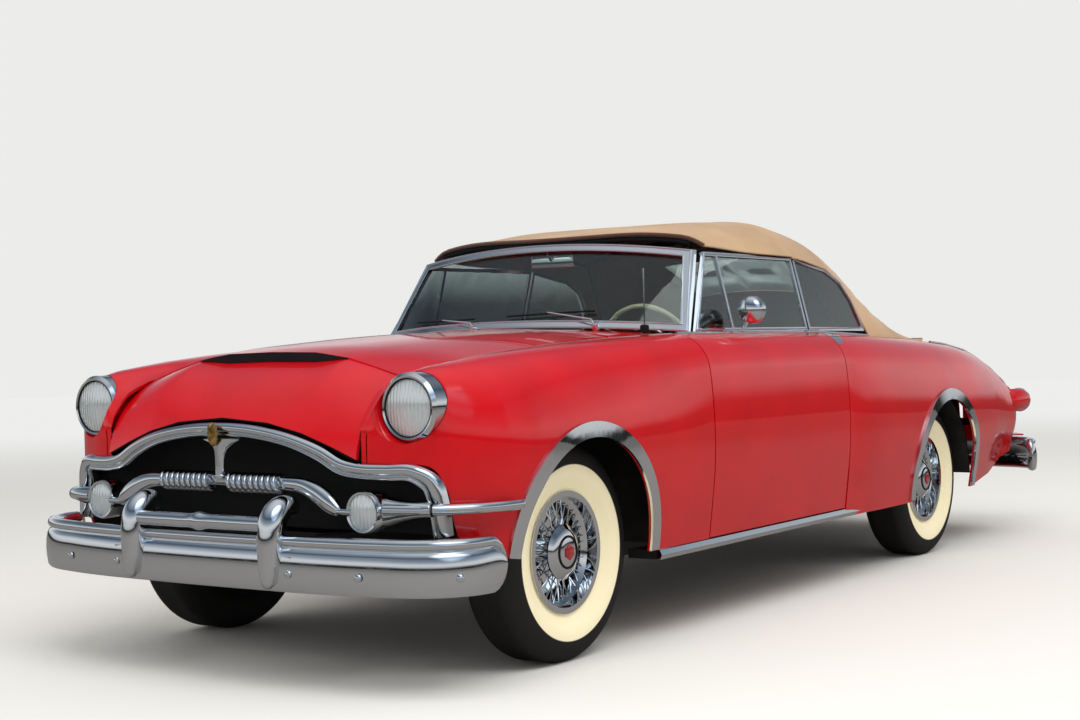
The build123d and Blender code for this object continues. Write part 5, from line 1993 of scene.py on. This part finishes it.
@dataclass(frozen=True)
class WheelCentres(SubAssembly):
    """The medallion on each wheel's cap."""

    face: float = 0.090
    ring_radius: float = 0.052
    medallion_radius: float = 0.027

    def build(self) -> None:
        """Makes a dark ring and a red hexagon on every cap."""
        enamel = RedEnamel()
        for place, d in AXLES:
            for each in Side:
                name, side = each.label, each.value
                body, way = f"{place}_{name}_wheel", (side, 0, 0)
                x = side * (WHEEL_X + self.face)
                ring = Workbench.ring((x - side * 0.006, behind(d), TYRE_RADIUS), way, self.ring_radius, 0.0045)
                Workbench.finish(ring, f"cap_ring_{place}_{name}", self.body.black, body, angle=50.0, slot="wire_wheel")
                hexagon = Workbench.disc((x, behind(d), TYRE_RADIUS), way, self.medallion_radius, 0.006, 6, 0.0015)
                Workbench.finish(hexagon, f"cap_medallion_{place}_{name}", enamel, body, angle=30.0)


@dataclass(frozen=True)
class ScreenFittings(SubAssembly):
    """Beads of the window frames, wipers, the mirrors and the aerial's boot."""

    bead_radius: float = 0.0036
    glass_lean_deg: float = 13.8
    frame_proud: float = 0.0085
    window_origin: Point = (0.760, 0.0, 1.084)
    # Middle line of each side window's frame: d, height along the leaning glass
    side_windows: tuple[tuple[str, Rows, tuple[str, str]], ...] = (
        ("door_window", ((1.022, 0.010), (1.222, 0.322), (1.977, 0.322), (1.977, 0.010), (1.022, 0.010)), ON_DOORS),
        ("vent_divider", ((1.318, 0.012), (1.318, 0.318)), ON_DOORS),
        (
            "quarter_window",
            (
                (2.007, 0.010), (2.007, 0.322), (2.089, 0.308), (2.297, 0.278), (2.424, 0.226), (2.502, 0.137),
                (2.556, 0.010), (2.007, 0.010),
            ),
            ON_CAR,
        ),
    )
    # The windshield: z of its foot and top at the sides, their arcs' rises, half their widths
    screen_z: Pair = (1.090, 1.414)
    screen_rise: Pair = (0.030, 0.048)
    screen_half: Pair = (0.740, 0.666)
    screen_arc_half: float = 0.744
    # Wipers: side, x of the pivot and of the blade's tip
    wipers: tuple[tuple[str, float, float], ...] = (("left", 0.40, -0.02), ("right", -0.16, -0.55))

    def on_glass(self, x: float, z: float, proud: float) -> Vector:
        """A place on the windshield's outside.

        Args:
            x: Distance from the car's middle.
            z: Height.
            proud: How far ahead of the glass the place lies.

        Returns:
            The place.
        """
        hit = self.body.skins.cast("fixed_glass", (x, behind(0.3), z), (0, 1, 0))
        assert hit is not None
        return hit[0] + Vector((0, -proud, proud * 0.4))

    def screen_beads(self) -> None:
        """Rounded edges of the windshield's frame."""
        (foot_z, top_z), (foot_rise, top_rise) = self.screen_z, self.screen_rise
        foot_half, top_half = self.screen_half
        for name, inset in (("outer", 0.004), ("inner", 0.027)):
            foot, top = foot_z + inset, top_z - inset
            low_x = steps(-foot_half + inset, foot_half - inset, 41)
            low = [(x, foot + foot_rise * (1 - (x / self.screen_arc_half) ** 2)) for x in low_x]
            high_x = steps(top_half - inset, -top_half + inset, 41)
            high = [(x, top + top_rise * (1 - (x / top_half) ** 2)) for x in high_x]
            path = []
            for x, z in low + high + low[:1]:
                hit = self.body.skins.cast("window_frames", (x, behind(0.3), z), (0, 1, 0))
                if hit:
                    path.append(hit[0] + Vector((0, -0.001, 0.0005)))
            bead = Workbench.line(path, self.bead_radius)
            Workbench.finish(bead, f"screen_bead_{name}", self.body.chrome, angle=50.0)

    def side_beads(self) -> None:
        """Rounded middles of the side windows' frames."""
        turn = math.radians(self.glass_lean_deg)
        up_way, out_way = Vector((-math.sin(turn), 0, math.cos(turn))), Vector((math.cos(turn), 0, math.sin(turn)))
        for name, corners, bodies in self.side_windows:
            path = []
            for (d, up), (after_d, after_up) in zip(corners, corners[1:]):
                for share in steps(0.0, 1.0, 5)[:-1]:
                    path.append((d + (after_d - d) * share, up + (after_up - up) * share))
            path.append(corners[-1])
            spots = []
            for d, up in path:
                foot = Vector(self.window_origin) + up * up_way
                spots.append(foot + Vector((0, behind(d), 0)) + self.frame_proud * out_way)
            bead = Workbench.line(spots, self.bead_radius)
            Workbench.finish_pair(bead, f"{name}_bead", self.body.chrome, bodies)

    def add_wipers(self) -> None:
        """Makes both wipers: blade, arm and boss."""
        for name, pivot_x, tip_x in self.wipers:
            blade = [self.on_glass(x, 1.165 + 0.012 * math.sin(3 * x), 0.012) for x in steps(tip_x, pivot_x - 0.03, 9)]
            bar = Workbench.line(blade, 0.004, resolution=2)
            Workbench.finish(bar, f"wiper_blade_{name}", self.body.black, angle=50.0, slot="bright_trim")
            foot_d = arc_depth(pivot_x, 0.835, 0.995, self.screen_arc_half)
            foot = Vector((pivot_x, behind(foot_d) - 0.01, 1.118))
            arm = Workbench.line([foot, foot + Vector((-0.02, 0, 0.03)), blade[4] + Vector((0, -0.008, 0.004))], 0.0035)
            Workbench.finish(arm, f"wiper_arm_{name}", self.body.chrome, angle=50.0)
            boss = Workbench.disc(foot, (0, -0.3, 1), 0.013, 0.03, 20, 0.004)
            Workbench.finish(boss, f"wiper_boss_{name}", self.body.chrome, angle=40.0)

    def build(self) -> None:
        """Makes the fittings."""
        self.screen_beads()
        self.side_beads()
        self.add_wipers()
        mirror = Workbench.box((0, behind(1.175), 1.395), (0.21, 0.022, 0.058))
        Workbench.round_edges(mirror, 0.010, 4)
        Workbench.apply_modifiers(mirror)
        stem = Workbench.line([(0, behind(1.165), 1.40), (0, behind(1.13), 1.43), (0, behind(1.115), 1.447)], 0.006)
        Workbench.finish(Workbench.join([mirror, stem]), "inside_mirror", self.body.chrome, angle=40.0)
        boot = Workbench.disc((0.690, behind(0.760), 1.103), (0, 0, 1), 0.017, 0.034, 24, 0.008)
        Workbench.finish(boot, "aerial_boot", self.body.black, angle=40.0, slot="bright_trim")
        back = Workbench.dome((0.842, behind(1.319), 1.172), (0, -1, 0), 0.055, 0.036)
        Workbench.finish(back, "mirror_back", self.body.chrome, "left_door", angle=50.0)


@dataclass(frozen=True)
class Liners(SubAssembly):
    """Near-black pans that close the car's corners, beside the trunk's floor, behind it and behind the grille: painted
    shade standing in for the dark inside the car.
    """

    # Name, middle, size
    pans: tuple[tuple[str, Point, Point], ...] = (
        ("trunk_pan_left", (0.665, 3.855, 0.590), (0.270, 0.850, 0.004)),
        ("trunk_pan_right", (-0.665, 3.855, 0.590), (0.270, 0.850, 0.004)),
        ("trunk_pan_rear", (0.0, 4.215, 0.590), (1.060, 0.130, 0.004)),
        ("grille_pan", (0.0, -0.585, 0.640), (1.140, 0.004, 0.300)),
    )

    def build(self) -> None:
        """Makes the pans."""
        for name, (x, d, z), size in self.pans:
            pan = Workbench.box((x, behind(d), z), size)
            # Each pan takes the near-black finish: painted shade where the inside of the car lies dark.
            Workbench.finish(pan, name, self.body.black, angle=30.0)


@dataclass(frozen=True)
class Cushion:
    """One seat cushion or backrest, as the box it fills."""

    name: str
    low: Point
    high: Point
    channels: int


@dataclass(frozen=True)
class Cabin(SubAssembly):
    """Seats, dials and the hand wheel's bright ring."""

    cushions: tuple[Cushion, ...] = (
        Cushion("front_cushion", (-0.638, 1.482, 0.325), (0.638, 1.905, 0.618), 9),
        Cushion("front_backrest", (-0.638, 1.902, 0.325), (0.638, 2.068, 1.008), 9),
        Cushion("rear_cushion", (-0.588, 2.462, 0.443), (0.588, 2.785, 0.648), 7),
        Cushion("rear_backrest", (-0.588, 2.782, 0.443), (0.588, 2.943, 1.018), 7),
    )
    # How far a pad's corners pull in, how deep its channels lie and how high it crowns, as shares of half its size
    pull_in: float = 0.055
    channel_depth: float = 0.02
    crown: float = 0.05
    fill: float = 0.93
    dials: tuple[float, ...] = (0.20, 0.372, 0.54)
    dial_z: float = 0.975
    dial_way: Point = (0, 1, 0.12)
    horn_ring_way: Point = (0, 0.9318, 0.3630)

    def cushion(self, made: Cushion) -> Piece:
        """A stuffed form with rounded edges and sewn channels.

        Args:
            made: The box it fills and its channels.

        Returns:
            The cushion, as a mesh.
        """
        Workbench.clear()
        bpy.ops.mesh.primitive_cube_add(size=2.0)
        pad = bpy.context.object
        with Workbench.editing(pad):
            bpy.ops.mesh.select_all(action="SELECT")
            bpy.ops.mesh.subdivide(number_cuts=31)
        low, high = Vector(made.low), Vector(made.high)
        middle, half = (low + high) / 2, (high - low) / 2
        upright = half.z > half.y
        for vertex in pad.data.vertices:
            u, v, w = vertex.co
            shrink = 1 - self.pull_in * max(0.0, abs(u) ** 8 + abs(v) ** 6 + abs(w) ** 6 - 1)
            groove = self.channel_depth * max(0.0, math.cos(u * made.channels * math.pi)) ** 10
            crown = self.crown * (1 - u * u) * (1 - (w * w if upright else v * v))
            u, v, w = u * shrink, v * shrink, w * shrink
            if upright:
                v = v * (self.fill + crown) + (groove * 1.6 if v < 0 else 0)
            else:
                w = w * (self.fill + crown) - (groove * 1.6 if w > 0 else 0)
            vertex.co = (middle.x + u * half.x, behind(middle.y + v * half.y), middle.z + w * half.z)
        return pad

    def build(self) -> None:
        """Makes the seats, the dials and the horn ring."""
        hide, ivory = SeatLeather(), IvoryPlastic()
        for number, made in enumerate(self.cushions):
            pad = self.cushion(made)
            replaces = ["seats"] if number == 0 else []
            piece = Workbench.finish(pad, made.name, hide, "car_body", replaces, 60.0)
        for number, x in enumerate(self.dials):
            face = Workbench.disc((x, behind(1.106), self.dial_z), self.dial_way, 0.042, 0.006, 32, 0.001)
            Workbench.finish(face, f"dial_face_{number}", ivory, angle=30.0)
            rim = Workbench.ring((x, behind(1.108), self.dial_z), self.dial_way, 0.044, 0.004)
            Workbench.finish(rim, f"dial_rim_{number}", self.body.chrome, angle=50.0)
        ring = Workbench.ring((0.372, behind(1.333), 1.001), self.horn_ring_way, 0.12, 0.004)
        Workbench.finish(ring, "horn_ring", self.body.chrome, "hand_wheel", angle=50.0)


@dataclass(frozen=True)
class Tail(SubAssembly):
    """Bright rings on the tail lamps."""

    lamp: Point = (0.845, 4.420, 0.692)
    ring_radius: float = 0.061

    def build(self) -> None:
        """Makes a ring round each lamp."""
        x, d, z = self.lamp
        for side in Side:
            ring = Workbench.ring((side.value * x, behind(d), z), (0, 1, 0), self.ring_radius, 0.004)
            Workbench.finish(ring, f"tail_ring_{side.label}", self.body.chrome, angle=50.0)


def main() -> None:
    """Builds the studio and every part of the car."""
    logging.basicConfig(level=logging.INFO)
    bpy.context.scene.view_settings.view_transform = "Standard"
    PhotoCamera().build()
    Studio().build()
    skins = Skins()
    body = Body(skins)
    body.dress()
    for part in (Canopy, BrightWork, Nose, Bumpers, WheelCentres, ScreenFittings, Liners, Cabin, Tail):
        part(body).build()
    log.info("built %d dressed solids", len(skins.pieces))


if __name__ == "__main__":
    main()
